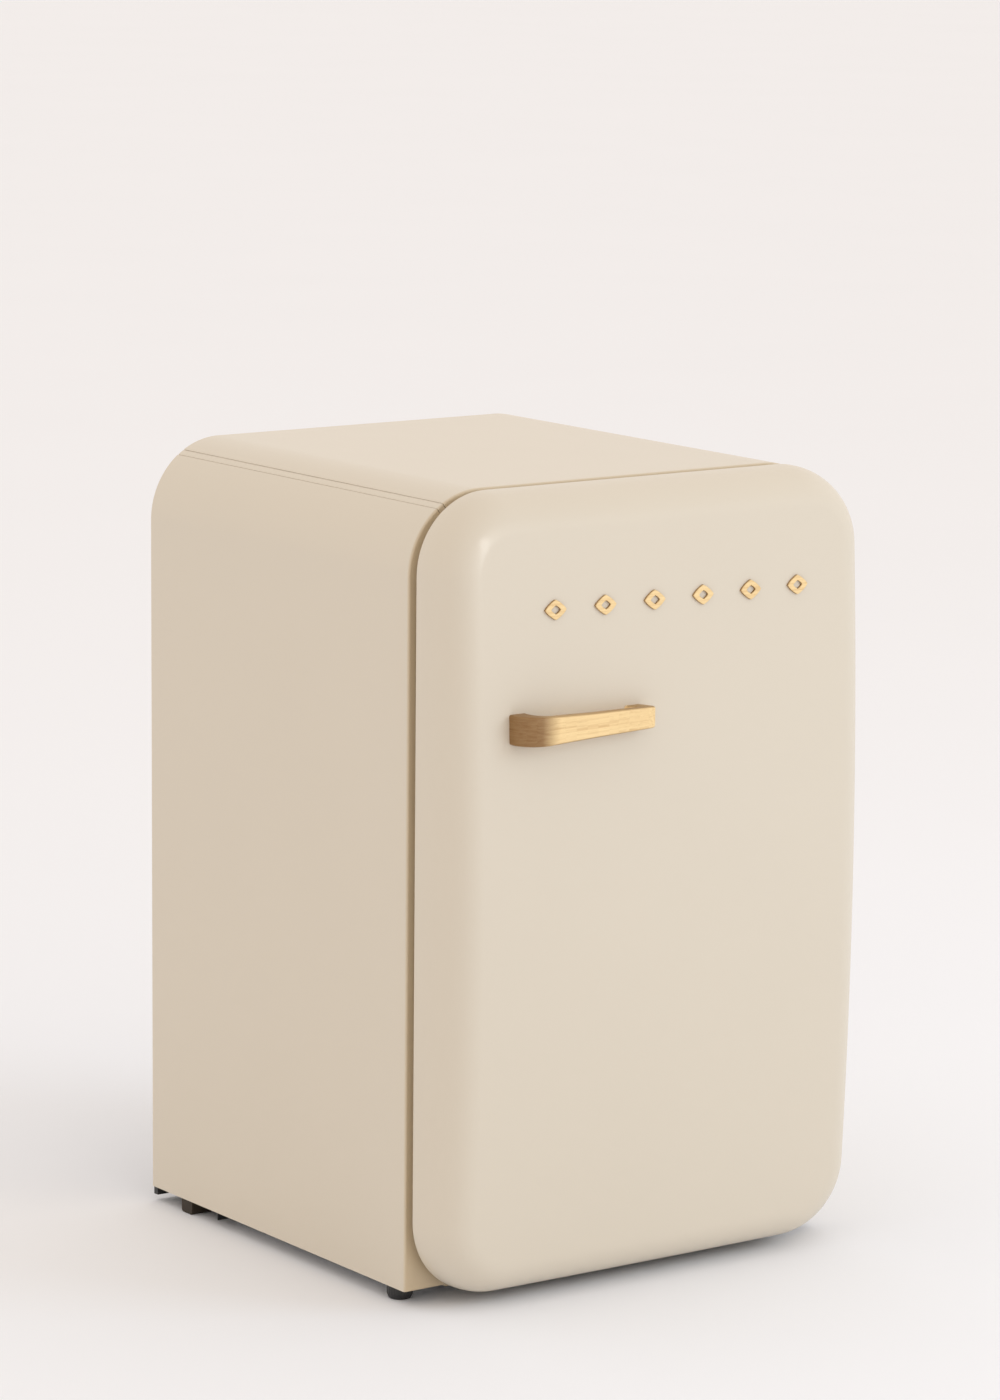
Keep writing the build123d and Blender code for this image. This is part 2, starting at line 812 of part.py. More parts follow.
with BuildPart() as suction_pipe_run:
    add(pipe_run(
        suction_pipe, pipe_bend,
        (compressor_x - compressor_radius + sheet, compressor_y, suction_z),
        (suction_x, compressor_y, suction_z), (suction_x, compressor_y, bay_top),
    ))
    add(compressor.part, mode=Mode.SUBTRACT)

suction_pipe_run.part.label = "suction_pipe"
export_step(suction_pipe_run.part, "parts/suction_pipe.step")

with BuildPart() as discharge_pipe:
    add(pipe_run(
        condenser_pipe, pipe_bend,
        (compressor_x + compressor_radius - 4 * sheet, compressor_y, discharge_z),
        (condenser_half_width, compressor_y, discharge_z), (condenser_half_width, condenser_y, discharge_z),
        (condenser_half_width, condenser_y, pipe_end_z),
    ))
    add(compressor.part, mode=Mode.SUBTRACT)

discharge_pipe.part.label = "discharge_pipe"
export_step(discharge_pipe.part, "parts/discharge_pipe.step")

with BuildPart() as cord_gland:
    gland_depth = cabinet_depth - gland_from_back
    with BuildSketch(facing(gland_depth)):
        with Locations((gland_x, floor_top)):
            Rectangle(gland_plate, gland_plate, align=(Align.CENTER, Align.MIN))
    extrude(amount=2 * sheet)
    with BuildSketch(facing(gland_depth)):
        with Locations((gland_x, floor_top + gland_plate / 2)):
            Circle(gland_radius)
    extrude(amount=-gland_length)
    with BuildSketch(facing(gland_depth)):
        with Locations((gland_x, floor_top + gland_plate / 2)):
            Circle(gland_bore)
    extrude(amount=-gland_length, mode=Mode.SUBTRACT)

cord_gland.part.label = "cord_gland"
export_step(cord_gland.part, "parts/cord_gland.step")

# ======== cold space ========

rib_length = furniture_back - furniture_front
rib_tops = (lower_shelf_z, upper_shelf_z, tray_z - body_clearance)

with BuildPart() as inner_liner:
    add(cavity_block(liner_wall))
    with BuildSketch(facing(0)):
        add(lip_outline(0))
    extrude(amount=-sheet)
    add(cavity_block(0), mode=Mode.SUBTRACT)
    for side in both_sides:
        for rib_top in rib_tops:
            with Locations((side * (cavity_half - rib_reach / 2), front + furniture_front, rib_top)):
                Box(rib_reach, rib_length, rib_height, align=(Align.CENTER, Align.MIN, Align.MAX))
    with Locations((compressor_x, front + drain_depth, step_top)):
        Cylinder(drain_radius, 4 * liner_wall, mode=Mode.SUBTRACT)

inner_liner.part.label = "inner_liner"
export_step(inner_liner.part, "parts/inner_liner.step")

with BuildPart() as switch_body:
    with BuildSketch(facing(sheet)):
        with Locations((switch_x, plunger_z)):
            Rectangle(2 * switch_body_size, switch_body_size)
            Circle(plunger_radius + running_clearance, mode=Mode.SUBTRACT)
    extrude(amount=-switch_body_depth)
    with BuildSketch(facing(sheet + switch_body_depth)):
        with Locations((switch_x, plunger_z)):
            Rectangle(2 * switch_body_size, switch_body_size)
    extrude(amount=-sheet)
    add(cavity_block(liner_wall), mode=Mode.SUBTRACT)

switch_body.part.label = "switch_body"
export_step(switch_body.part, "parts/switch_body.step")

plunger_front = -(door_gap - plunger_play)
plunger_length = switch_body_depth + sheet - plunger_travel - body_clearance - plunger_front
with BuildPart() as switch_plunger:
    with BuildSketch(facing(plunger_front)):
        with Locations((switch_x, plunger_z)):
            Circle(plunger_radius)
    extrude(amount=-plunger_length)
    fillet(switch_plunger.edges().sort_by(Axis.Y)[0], sheet)

switch_plunger.part.label = "switch_plunger"
export_step(switch_plunger.part, "parts/switch_plunger.step")

with BuildPart() as cabinet_foam:
    with BuildSketch(facing(sheet)):
        add(cabinet_outline(sheet))
        Rectangle(2 * width, 2 * floor_top, mode=Mode.SUBTRACT)
    extrude(amount=2 * sheet - cabinet_depth)
    with Locations((0, front + bay_front, 0)):
        Box(
            2 * width, cabinet_depth, bay_top + shield,
            align=(Align.CENTER, Align.MIN, Align.MIN), mode=Mode.SUBTRACT,
        )
    add(cavity_block(liner_wall), mode=Mode.SUBTRACT)
    add(left_side_panel.part, mode=Mode.SUBTRACT)
    add(right_side_panel.part, mode=Mode.SUBTRACT)
    add(hinge_screws.part, mode=Mode.SUBTRACT)
    with BuildSketch(facing(sheet)):
        with Locations((switch_x, plunger_z)):
            Rectangle(2 * switch_body_size, switch_body_size)
    extrude(amount=-(switch_body_depth + sheet), mode=Mode.SUBTRACT)
    for x, y in foot_places:
        with Locations((x, y, 0)):
            Cylinder(
                insert_radius, insert_top,
                align=(Align.CENTER, Align.CENTER, Align.MIN), mode=Mode.SUBTRACT,
            )
    with Locations((compressor_x, front + drain_depth, bay_top)):
        Cylinder(drain_radius, step_top, mode=Mode.SUBTRACT)

cabinet_foam.part.label = "cabinet_foam"
export_step(cabinet_foam.part, "parts/cabinet_foam.step")

shelf_half = cavity_half - slide_clearance
for name, level in (("upper_shelf", upper_shelf_z), ("lower_shelf", lower_shelf_z)):
    with BuildPart() as glass:
        with Locations((0, front + furniture_front, level)):
            Box(2 * shelf_half, rib_length, shelf_glass, align=(Align.CENTER, Align.MIN, Align.MIN))
    glass.part.label = f"{name}_glass"
    export_step(glass.part, f"parts/{name}_glass.step")

    with BuildPart() as trim:
        for start in (furniture_front - shelf_trim_depth / 2, furniture_back - shelf_trim_depth / 2):
            with Locations((0, front + start, level + shelf_glass / 2)):
                Box(
                    2 * (cavity_half - rib_reach - slide_clearance), shelf_trim_depth, shelf_trim_height,
                    align=(Align.CENTER, Align.MIN, Align.CENTER),
                )
        fillet(trim.edges().filter_by(Axis.X), sheet)
        add(glass.part, mode=Mode.SUBTRACT)
    trim.part.label = f"{name}_trim"
    export_step(trim.part, f"parts/{name}_trim.step")

with BuildPart() as drip_tray:
    tray_half = cavity_half - slide_clearance
    tray_length = tray_back - furniture_front
    with Locations((0, front + furniture_front, tray_z)):
        Box(2 * tray_half, tray_length, tray_height, align=(Align.CENTER, Align.MIN, Align.MIN))
    fillet(drip_tray.edges().filter_by(Axis.Z), 4 * tray_wall)
    with BuildSketch(Plane(origin=(0, front + furniture_front + tray_length / 2, tray_z + tray_wall))):
        RectangleRounded(2 * (tray_half - tray_wall), tray_length - 2 * tray_wall, 3 * tray_wall)
    extrude(amount=tray_height, mode=Mode.SUBTRACT)

drip_tray.part.label = "drip_tray"
export_step(drip_tray.part, "parts/drip_tray.step")

# ======== ice box ========

ice_middle_x = (ice_box_left + ice_box_right) / 2
ice_middle_z = (ice_box_low + ice_box_high) / 2
ice_wide = ice_box_right - ice_box_left
ice_tall = ice_box_high - ice_box_low
ice_front = furniture_front + ice_frame_depth
flap_wide = ice_wide - 2 * slide_clearance
flap_tall = ice_tall - 4 * slide_clearance
flap_low = ice_box_low + 2 * slide_clearance
flap_depth = furniture_front + ice_flap_thickness / 2
pivot_z = flap_low + ice_flap_pivot_height
pivot_plane = Plane(
    origin=(ice_middle_x, front + flap_depth, pivot_z), x_dir=(0, 1, 0), z_dir=(1, 0, 0)
)

with BuildPart() as ice_box:
    with BuildSketch(facing(ice_front)):
        with Locations((ice_middle_x, ice_middle_z)):
            RectangleRounded(ice_wide, ice_tall, 4 * ice_box_wall)
    extrude(amount=-(ice_box_back - ice_front))
    with BuildSketch(facing(ice_front)):
        with Locations((ice_middle_x, ice_middle_z)):
            RectangleRounded(ice_wide - 2 * ice_box_wall, ice_tall - 2 * ice_box_wall, 3 * ice_box_wall)
    extrude(amount=-(ice_box_back - ice_front - ice_box_wall), mode=Mode.SUBTRACT)

ice_box.part.label = "ice_box"
export_step(ice_box.part, "parts/ice_box.step")

with BuildPart() as ice_box_hangers:
    for x in (ice_box_left + hanger_inset, ice_box_right - hanger_inset):
        for depth in (ice_front + hanger_inset, ice_box_back - hanger_inset):
            with Locations((x, front + depth, ice_box_high)):
                Cylinder(
                    hanger_radius, cavity_ceiling - ice_box_high,
                    align=(Align.CENTER, Align.CENTER, Align.MIN),
                )

ice_box_hangers.part.label = "ice_box_hangers"
export_step(ice_box_hangers.part, "parts/ice_box_hangers.step")

with BuildPart() as ice_box_frame:
    with BuildSketch(facing(furniture_front)):
        with Locations((ice_middle_x, ice_middle_z)):
            RectangleRounded(
                ice_wide + 2 * ice_frame_width, ice_tall + 2 * ice_frame_width, ice_frame_width
            )
            Rectangle(ice_wide, ice_tall, mode=Mode.SUBTRACT)
    extrude(amount=-ice_frame_depth)
    with BuildSketch(pivot_plane):
        Circle(ice_pin_radius + running_clearance)
    extrude(amount=ice_wide / 2 + ice_pin_length + slide_clearance, both=True, mode=Mode.SUBTRACT)

ice_box_frame.part.label = "ice_box_frame"
export_step(ice_box_frame.part, "parts/ice_box_frame.step")

with BuildPart() as ice_box_flap:
    with BuildSketch(facing(furniture_front)):
        with Locations((ice_middle_x, flap_low)):
            Rectangle(flap_wide, flap_tall, align=(Align.CENTER, Align.MIN))
    extrude(amount=-ice_flap_thickness)
    with BuildSketch(pivot_plane):
        Circle(ice_pin_radius)
    extrude(amount=ice_wide / 2 + ice_pin_length, both=True)

ice_box_flap.part.label = "ice_box_flap"
export_step(ice_box_flap.part, "parts/ice_box_flap.step")

# ======== thermostat and lamp ========

housing_x = cavity_half - thermostat_depth
knob_y = front + thermostat_front + knob_from_front
knob_z = thermostat_low + thermostat_tall / 2

with BuildPart() as thermostat_housing:
    with Locations((cavity_half, front + thermostat_front, thermostat_low)):
        Box(thermostat_depth, thermostat_length, thermostat_tall, align=(Align.MAX, Align.MIN, Align.MIN))
    fillet(thermostat_housing.faces().sort_by(Axis.X)[0].edges(), 3 * sheet)
    inner_corner = (
        cavity_half, front + thermostat_front + thermostat_wall, thermostat_low + thermostat_wall
    )
    with Locations(inner_corner):
        Box(
            thermostat_depth - thermostat_wall, thermostat_length - 2 * thermostat_wall,
            thermostat_tall - 2 * thermostat_wall,
            align=(Align.MAX, Align.MIN, Align.MIN), mode=Mode.SUBTRACT,
        )
    with BuildSketch(Plane(origin=(housing_x, knob_y, knob_z), x_dir=(0, 1, 0), z_dir=(1, 0, 0))):
        Circle(knob_shaft_radius + running_clearance)
    extrude(amount=2 * thermostat_wall, both=True, mode=Mode.SUBTRACT)

thermostat_housing.part.label = "thermostat_housing"
export_step(thermostat_housing.part, "parts/thermostat_housing.step")

with BuildPart() as thermostat_knob:
    knob_face = Plane(
        origin=(housing_x - body_clearance, knob_y, knob_z), x_dir=(0, 1, 0), z_dir=(-1, 0, 0)
    )
    with BuildSketch(knob_face):
        Circle(knob_radius)
    extrude(amount=knob_length / 2)
    with BuildSketch(knob_face.offset(knob_length / 2)):
        RectangleRounded(knob_radius / 2, 2 * knob_radius - 2 * sheet, sheet)
    extrude(amount=knob_length / 2)
    with BuildSketch(knob_face):
        Circle(knob_shaft_radius)
    extrude(amount=-(thermostat_depth / 2))

thermostat_knob.part.label = "thermostat_knob"
export_step(thermostat_knob.part, "parts/thermostat_knob.step")

with BuildPart() as lamp_lens:
    lens_y = front + thermostat_front + thermostat_length - 4 * sheet
    with Locations((housing_x, lens_y, knob_z)):
        Box(lamp_thickness, lamp_length, lamp_height, align=(Align.MAX, Align.MAX, Align.CENTER))
    fillet(lamp_lens.faces().sort_by(Axis.X)[0].edges(), sheet)

lamp_lens.part.label = "lamp_lens"
export_step(lamp_lens.part, "parts/lamp_lens.step")

# ======== handle and trim on the door ========

door_solid = door_block(0)
door_face = front - door_gap - door_thickness
handle_front = door_face - handle_proud
handle_feet = (handle_left + handle_left_foot / 2, handle_right - handle_right_foot / 2)

with BuildPart() as handle_blank:
    inside = door_face + door_crown
    right_front = handle_front + handle_right_setback
    with BuildSketch(Plane(origin=(0, 0, handle_z))):
        with BuildLine():
            FilletPolyline(
                (handle_left, inside), (handle_left, handle_front), (handle_right, right_front),
                (handle_right, inside), radius=(handle_left_bend, handle_right_bend),
            )
            Line((handle_right, inside), (handle_right - handle_right_foot, inside))
            FilletPolyline(
                (handle_right - handle_right_foot, inside),
                (handle_right - handle_right_foot, right_front + handle_bar),
                (handle_left + handle_left_foot, handle_front + handle_bar),
                (handle_left + handle_left_foot, inside),
                radius=(handle_inner_bend / 3, handle_inner_bend),
            )
            Line((handle_left + handle_left_foot, inside), (handle_left, inside))
        make_face()
    extrude(amount=handle_left_height, both=True)
    with BuildSketch(Plane(origin=(0, 0, handle_z), x_dir=(1, 0, 0), z_dir=(0, -1, 0))):
        add(polygon(
            (handle_left, -handle_left_height / 2), (handle_right, -handle_right_height / 2),
            (handle_right, handle_right_height / 2), (handle_left, handle_left_height / 2),
        ))
    extrude(amount=width, both=True, mode=Mode.INTERSECT)
    outer_edges = handle_blank.faces().filter_by(
        lambda face: abs(face.normal_at(face.center()).Z) > 0.9
    ).edges()
    fillet(outer_edges, handle_edge)

with BuildPart() as handle_screws:
    for x in handle_feet:
        head_y = door_face + door_crown / 2 + handle_screw_head_height
        with BuildSketch(Plane(origin=(x, head_y, handle_z), x_dir=(1, 0, 0), z_dir=(0, -1, 0))):
            Circle(handle_screw_head)
        extrude(amount=handle_screw_head_height)
        with BuildSketch(Plane(origin=(x, head_y, handle_z), x_dir=(1, 0, 0), z_dir=(0, -1, 0))):
            Circle(handle_screw_radius)
        extrude(amount=handle_screw_head_height + door_crown / 2 + handle_screw_depth)

handle_screws.part.label = "handle_screws"
export_step(handle_screws.part, "parts/handle_screws.step")

with BuildPart() as handle:
    add(handle_blank.part)
    add(door_solid, mode=Mode.SUBTRACT)
    add(handle_screws.part, mode=Mode.SUBTRACT)

handle.part.label = "handle"
export_step(handle.part, "parts/handle.step")

with BuildPart() as badge_lozenges:
    with BuildSketch(facing(-door_gap)):
        for number in range(badge_count):
            with Locations((badge_first_x + number * badge_pitch, badge_z)):
                add(polygon(
                    (-badge_wide / 2, 0), (0, -badge_tall / 2), (badge_wide / 2, 0), (0, badge_tall / 2)
                ))
        with Locations(*[(badge_first_x + number * badge_pitch, badge_z) for number in range(badge_count)]):
            Rectangle(badge_stroke, badge_stroke, rotation=45, mode=Mode.SUBTRACT)
    extrude(amount=2 * door_thickness)
    add(door_block(-badge_proud), mode=Mode.INTERSECT)
    add(door_solid, mode=Mode.SUBTRACT)

badge_lozenges.part.label = "badge_lozenges"
export_step(badge_lozenges.part, "parts/badge_lozenges.step")

# ======== door ========

door_slots = [hinge_slot(leaf_z) for leaf_z, _ in hinge_levels]
inner_door = door_block(sheet)

with BuildPart() as hinge_sockets:
    for leaf_z, direction in hinge_levels:
        start = leaf_z - slot_clearance if direction < 0 else leaf_z + leaf_thickness + slot_clearance
        with BuildSketch(Plane(origin=(pin_x, pin_y, start))):
            Circle(socket_radius)
        extrude(amount=direction * socket_length)
        with BuildSketch(Plane(origin=(pin_x, pin_y, start))):
            Circle(pin_radius + running_clearance)
        extrude(amount=direction * (pin_depth + body_clearance), mode=Mode.SUBTRACT)

hinge_sockets.part.label = "hinge_sockets"
export_step(hinge_sockets.part, "parts/hinge_sockets.step")

with BuildPart() as door_skin:
    add(door_solid)
    add(inner_door, mode=Mode.SUBTRACT)
    with BuildSketch(facing(-door_gap)):
        add(door_outline(0))
        add(door_outline(door_return), mode=Mode.SUBTRACT)
    extrude(amount=sheet)
    for slot in door_slots:
        add(slot, mode=Mode.SUBTRACT)
    add(handle_screws.part, mode=Mode.SUBTRACT)

door_skin.part.label = "door_skin"
export_step(door_skin.part, "parts/door_skin.step")

with BuildPart() as door_liner:
    with BuildSketch(facing(-door_gap)):
        add(door_outline(door_return))
    extrude(amount=liner_wall)
    with BuildSketch(facing(-door_gap - liner_wall)):
        add(dyke_outline(0))
        add(dyke_outline(dyke_width), mode=Mode.SUBTRACT)
    extrude(amount=-(liner_wall + dyke_rise))
    with BuildSketch(facing(-door_gap - liner_wall)):
        add(dyke_outline(liner_wall))
        add(dyke_outline(dyke_width - liner_wall), mode=Mode.SUBTRACT)
    extrude(amount=-dyke_rise, mode=Mode.SUBTRACT)
    for low, tall in bin_levels.values():
        lug_top = low + tall - ear_below_rim - body_clearance
        for side in both_sides:
            with Locations((side * (dyke_half - dyke_width), front - door_gap, lug_top)):
                Box(
                    lug_reach, lug_length, lug_height,
                    align=(Align.MIN if side < 0 else Align.MAX, Align.MIN, Align.MAX),
                )
    for slot in door_slots:
        add(slot, mode=Mode.SUBTRACT)

door_liner.part.label = "door_liner"
export_step(door_liner.part, "parts/door_liner.step")

with BuildPart() as door_foam:
    add(inner_door)
    with BuildSketch(facing(-door_gap)):
        add(door_outline(sheet))
    extrude(amount=liner_wall, mode=Mode.SUBTRACT)
    with BuildSketch(facing(-door_gap - liner_wall)):
        add(dyke_outline(liner_wall))
        add(dyke_outline(dyke_width - liner_wall), mode=Mode.SUBTRACT)
    extrude(amount=-dyke_rise)
    for slot in door_slots:
        add(slot, mode=Mode.SUBTRACT)
    add(handle_screws.part, mode=Mode.SUBTRACT)
    for leaf_z, direction in hinge_levels:
        start = leaf_z - slot_clearance if direction < 0 else leaf_z + leaf_thickness + slot_clearance
        with BuildSketch(Plane(origin=(pin_x, pin_y, start))):
            Circle(socket_radius)
        extrude(amount=direction * socket_length, mode=Mode.SUBTRACT)

door_foam.part.label = "door_foam"
export_step(door_foam.part, "parts/door_foam.step")

with BuildPart() as door_gasket:
    gasket_depth = door_gap - seal_clearance
    with BuildSketch(facing(-door_gap)):
        add(door_outline(gasket_from_edge))
        add(door_outline(gasket_from_edge + gasket_width), mode=Mode.SUBTRACT)
    extrude(amount=-gasket_depth)
    with BuildSketch(facing(-door_gap + gasket_depth / 3)):
        add(door_outline(gasket_from_edge))
        add(door_outline(gasket_from_edge + gasket_groove), mode=Mode.SUBTRACT)
        add(door_outline(gasket_from_edge + gasket_width - gasket_groove))
        add(door_outline(gasket_from_edge + gasket_width), mode=Mode.SUBTRACT)
    extrude(amount=-gasket_depth / 3, mode=Mode.SUBTRACT)

door_gasket.part.label = "door_gasket"
export_step(door_gasket.part, "parts/door_gasket.step")

# ======== door bins ========

for name, (low, tall) in bin_levels.items():
    bin_start = body_clearance - door_gap
    bin_length = bin_reach - bin_start
    with BuildPart() as door_bin:
        with Locations((0, front + bin_start, low)):
            Box(2 * bin_half, bin_length, tall, align=(Align.CENTER, Align.MIN, Align.MIN))
        fillet(door_bin.edges().filter_by(Axis.Z), bin_corner)
        with BuildSketch(Plane(origin=(0, front + bin_start + bin_length / 2, low + bin_wall))):
            RectangleRounded(2 * (bin_half - bin_wall), bin_length - 2 * bin_wall, bin_corner - bin_wall)
        extrude(amount=tall, mode=Mode.SUBTRACT)
        for side in both_sides:
            ear_corner = (
                side * (bin_half - bin_wall), front + bin_start + bin_corner, low + tall - ear_below_rim
            )
            with Locations(ear_corner):
                Box(
                    bin_wall + lug_reach + slide_clearance - body_clearance, lug_length - bin_corner,
                    ear_height, align=(Align.MIN if side > 0 else Align.MAX, Align.MIN, Align.MIN),
                )
    door_bin.part.label = name
    export_step(door_bin.part, f"parts/{name}.step")
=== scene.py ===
"""The looks of a retro under-counter mini fridge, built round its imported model, in metres.

X is to the right, Y to the back and Z up. Insets are counted inwards from an outline, depths backwards
from a face. Every piece's object sits at the origin and its place is in its mesh.
"""

import json
import math

import bmesh
import bpy
import numpy as np
from bpy.props import FloatProperty, FloatVectorProperty, PointerProperty
from mathutils import Matrix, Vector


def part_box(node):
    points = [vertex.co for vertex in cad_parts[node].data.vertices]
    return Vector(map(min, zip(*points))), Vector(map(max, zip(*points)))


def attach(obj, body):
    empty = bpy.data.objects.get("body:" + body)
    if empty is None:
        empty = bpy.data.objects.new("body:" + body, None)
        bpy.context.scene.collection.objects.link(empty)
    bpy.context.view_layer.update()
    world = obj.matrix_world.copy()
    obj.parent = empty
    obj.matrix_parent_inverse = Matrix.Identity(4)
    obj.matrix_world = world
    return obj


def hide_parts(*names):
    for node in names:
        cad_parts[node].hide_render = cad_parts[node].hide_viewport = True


bl_info = {
    "name": "Mini Fridge",
    "version": (1, 0, 0),
    "blender": (4, 5, 0),
    "location": "View3D > Sidebar > Mini Fridge",
    "description": "Makes the pieces, finishes and stage of a retro mini fridge",
    "category": "Object",
}

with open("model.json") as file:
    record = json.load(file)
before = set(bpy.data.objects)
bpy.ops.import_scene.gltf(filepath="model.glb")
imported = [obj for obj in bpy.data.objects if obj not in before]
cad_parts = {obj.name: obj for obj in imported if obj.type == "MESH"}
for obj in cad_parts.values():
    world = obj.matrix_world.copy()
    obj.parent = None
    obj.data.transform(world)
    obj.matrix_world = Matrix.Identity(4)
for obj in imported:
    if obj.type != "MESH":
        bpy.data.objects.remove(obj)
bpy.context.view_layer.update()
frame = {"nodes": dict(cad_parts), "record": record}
BODY_OF = {node: body for body, nodes in frame["record"]["behaviour"]["bodies"].items() for node in nodes}


def corners(node):
    """The lowest and highest corner of a node's box, as arrays."""
    low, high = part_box(node)
    return np.array(low), np.array(high)


SKIN_LOW, SKIN_HIGH = corners("door_skin")
SIDE_LOW, SIDE_HIGH = corners("left_side_panel")
HALF = float(SKIN_HIGH[0])
TOP = float(SKIN_HIGH[2])
FRONT = float(SIDE_LOW[1])
REAR = float(SIDE_HIGH[1])
PANEL_BOTTOM = float(SIDE_LOW[2])
DOOR_FACE = float(SKIN_LOW[1])
DOOR_BACK = float(SKIN_HIGH[1])
DOOR_BOTTOM = float(SKIN_LOW[2])
DOOR_MIDDLE = (TOP + DOOR_BOTTOM) / 2
DOOR_HALF_HEIGHT = (TOP - DOOR_BOTTOM) / 2

# The gap left between sheets that would otherwise share a face.
CLEARANCE = 0.0001

# Where the roof and side panels end on the cabinet's corner arc, counted from the X axis, and the
# ends, depth and edge fold of the strip let in between them.
SEAM_TOP = math.radians(121.0)
SEAM_SIDE = math.radians(127.0)
LAP_TOP = math.radians(121.25)
LAP_SIDE = math.radians(126.75)
LAP_SINK = 0.0004
LAP_FOLD = 0.0007

# The door's rolled edge: the power of its super-ellipse, its steps, how much of the crown it takes
# up, and the inset inside which the face is a plain crown.
ROLL_POWER = 2.2
ROLL_STEPS = 26
CROWN_SHARE = 0.3
FLAT_INSET = 0.062

# The bright spot on the door's upper left corner: its place on the face, its half sizes and its glow.
GLINT_X = -0.230
GLINT_Z = 0.813
GLINT_HALF_WIDTH = 0.0055
GLINT_HALF_HEIGHT = 0.0095
GLINT_GLOW = 30.0

# The share of each channel that the paint keeps on the flange behind the door: painted shade, a warmer and
# darker tone standing for the shade in the gap between the door and the cabinet.
FLANGE_PAINTED_SHADE = (0.91, 0.82, 0.67)


# ======== sizes and colours a user would change ========

def size(name, default, description):
    return FloatProperty(name=name, description=description, default=default, unit="LENGTH", min=0.0)


def colour(name, default, description):
    return FloatVectorProperty(
        name=name, description=description, default=default, subtype="COLOR", size=3, min=0.0, max=1.0
    )


class FridgeCabinetSizes(bpy.types.PropertyGroup):
    """Sizes of the cabinet's sheet-metal skin."""
    corner: size("Corner radius", 0.088, "Radius of the cabinet's top corners")
    sheet: size("Sheet", 0.0015, "Thickness of the steel sheet")
    bend: size("Front bend", 0.0030, "Radius of the fold at the front edges")
    flange: size("Flange", 0.052, "Width of the flange round the mouth of the cabinet")
    seam_fold: size("Seam fold", 0.0009, "Radius of the folded edge at the roof seams")
    side_return: size("Side return", 0.010, "Width of the fold under each side panel")


class FridgeDoorSizes(bpy.types.PropertyGroup):
    """Sizes of the door's pillow-shaped skin."""
    corner: size("Corner radius", 0.084, "Radius of the door's corners")
    wall: size("Wall", 0.0015, "Thickness of the door's steel skin")
    crown_high: size("Crown, upright", 0.016, "How far the face falls back at the top and bottom")
    crown_across: size("Crown, across", 0.0035, "How far the face falls back at the sides")
    roll_inset: size("Roll inset", 0.040, "Width of the rolled edge seen from the front")
    roll_depth: size("Roll depth", 0.056, "Depth of the rolled edge")
    back_bend: size("Back bend", 0.0025, "Radius of the fold at the door's back")
    back_return: size("Back return", 0.014, "Width of the fold behind the door")


class FridgeFinishes(bpy.types.PropertyGroup):
    """Colours of the finishes."""
    cream: colour("Cream paint", (0.672, 0.602, 0.494), "Satin paint of the cabinet and the door")
    oak_light: colour("Light oak", (0.92, 0.68, 0.345), "Early wood of the handle and badges")
    oak_dark: colour("Dark oak", (0.62, 0.38, 0.16), "Late wood of the handle and badges")
    # Painted shade: this dark brown darkens the handle's left end, its top and bottom faces and the badges'
    # rounded sides, which turn away from the light.
    oak_painted_shade: colour("Burnt oak", (0.20, 0.088, 0.020), "End grain and cut edges of the wood")
    liner: colour("Liner plastic", (0.80, 0.79, 0.76), "White plastic of the cold space")
    # Painted shade: the seal's vinyl is made dark brown to stand for the shade in the gap between the door
    # and the cabinet.
    gasket: colour("Gasket vinyl", (0.22, 0.15, 0.07), "Soft vinyl of the door seal")


class FridgeStageSizes(bpy.types.PropertyGroup):
    """Where the camera stands and how strong the light is."""
    azimuth: FloatProperty(
        name="Camera azimuth", description="Turn of the camera to the left of straight ahead",
        default=math.radians(-35.5255), subtype="ANGLE",
    )
    elevation: FloatProperty(
        name="Camera elevation", description="How far the camera looks down",
        default=math.radians(10.1667), subtype="ANGLE",
    )
    roll: FloatProperty(
        name="Camera roll", description="Turn of the camera about its own line of sight",
        default=math.radians(0.5217), subtype="ANGLE",
    )
    distance: size("Camera distance", 5.426, "From the aim point to the camera")
    aim_x: FloatProperty(name="Aim, across", description="Aim point, X", default=-0.15857, unit="LENGTH")
    aim_z: FloatProperty(name="Aim, up", description="Aim point, Z", default=0.63537, unit="LENGTH")
    lens: FloatProperty(name="Lens", description="Focal length in millimetres", default=134.2)
    sky: colour("Room light", (0.985, 0.920, 0.860), "Colour of the light all round")
    floor: colour("Floor", (0.875, 0.888, 0.925), "Colour of the floor")


# ======== shader nodes ========

class Wire:
    """A socket of a finish's nodes, on which sums are written as expressions."""

    def __init__(self, finish, socket):
        self.finish = finish
        self.socket = socket

    def _sum(self, operation, first, second):
        return self.finish.node("ShaderNodeMath", {"operation": operation}, {0: first, 1: second})

    def __add__(self, other):
        return self._sum("ADD", self, other)

    __radd__ = __add__

    def __sub__(self, other):
        return self._sum("SUBTRACT", self, other)

    def __rsub__(self, other):
        return self._sum("SUBTRACT", other, self)

    def __mul__(self, other):
        return self._sum("MULTIPLY", self, other)

    __rmul__ = __mul__


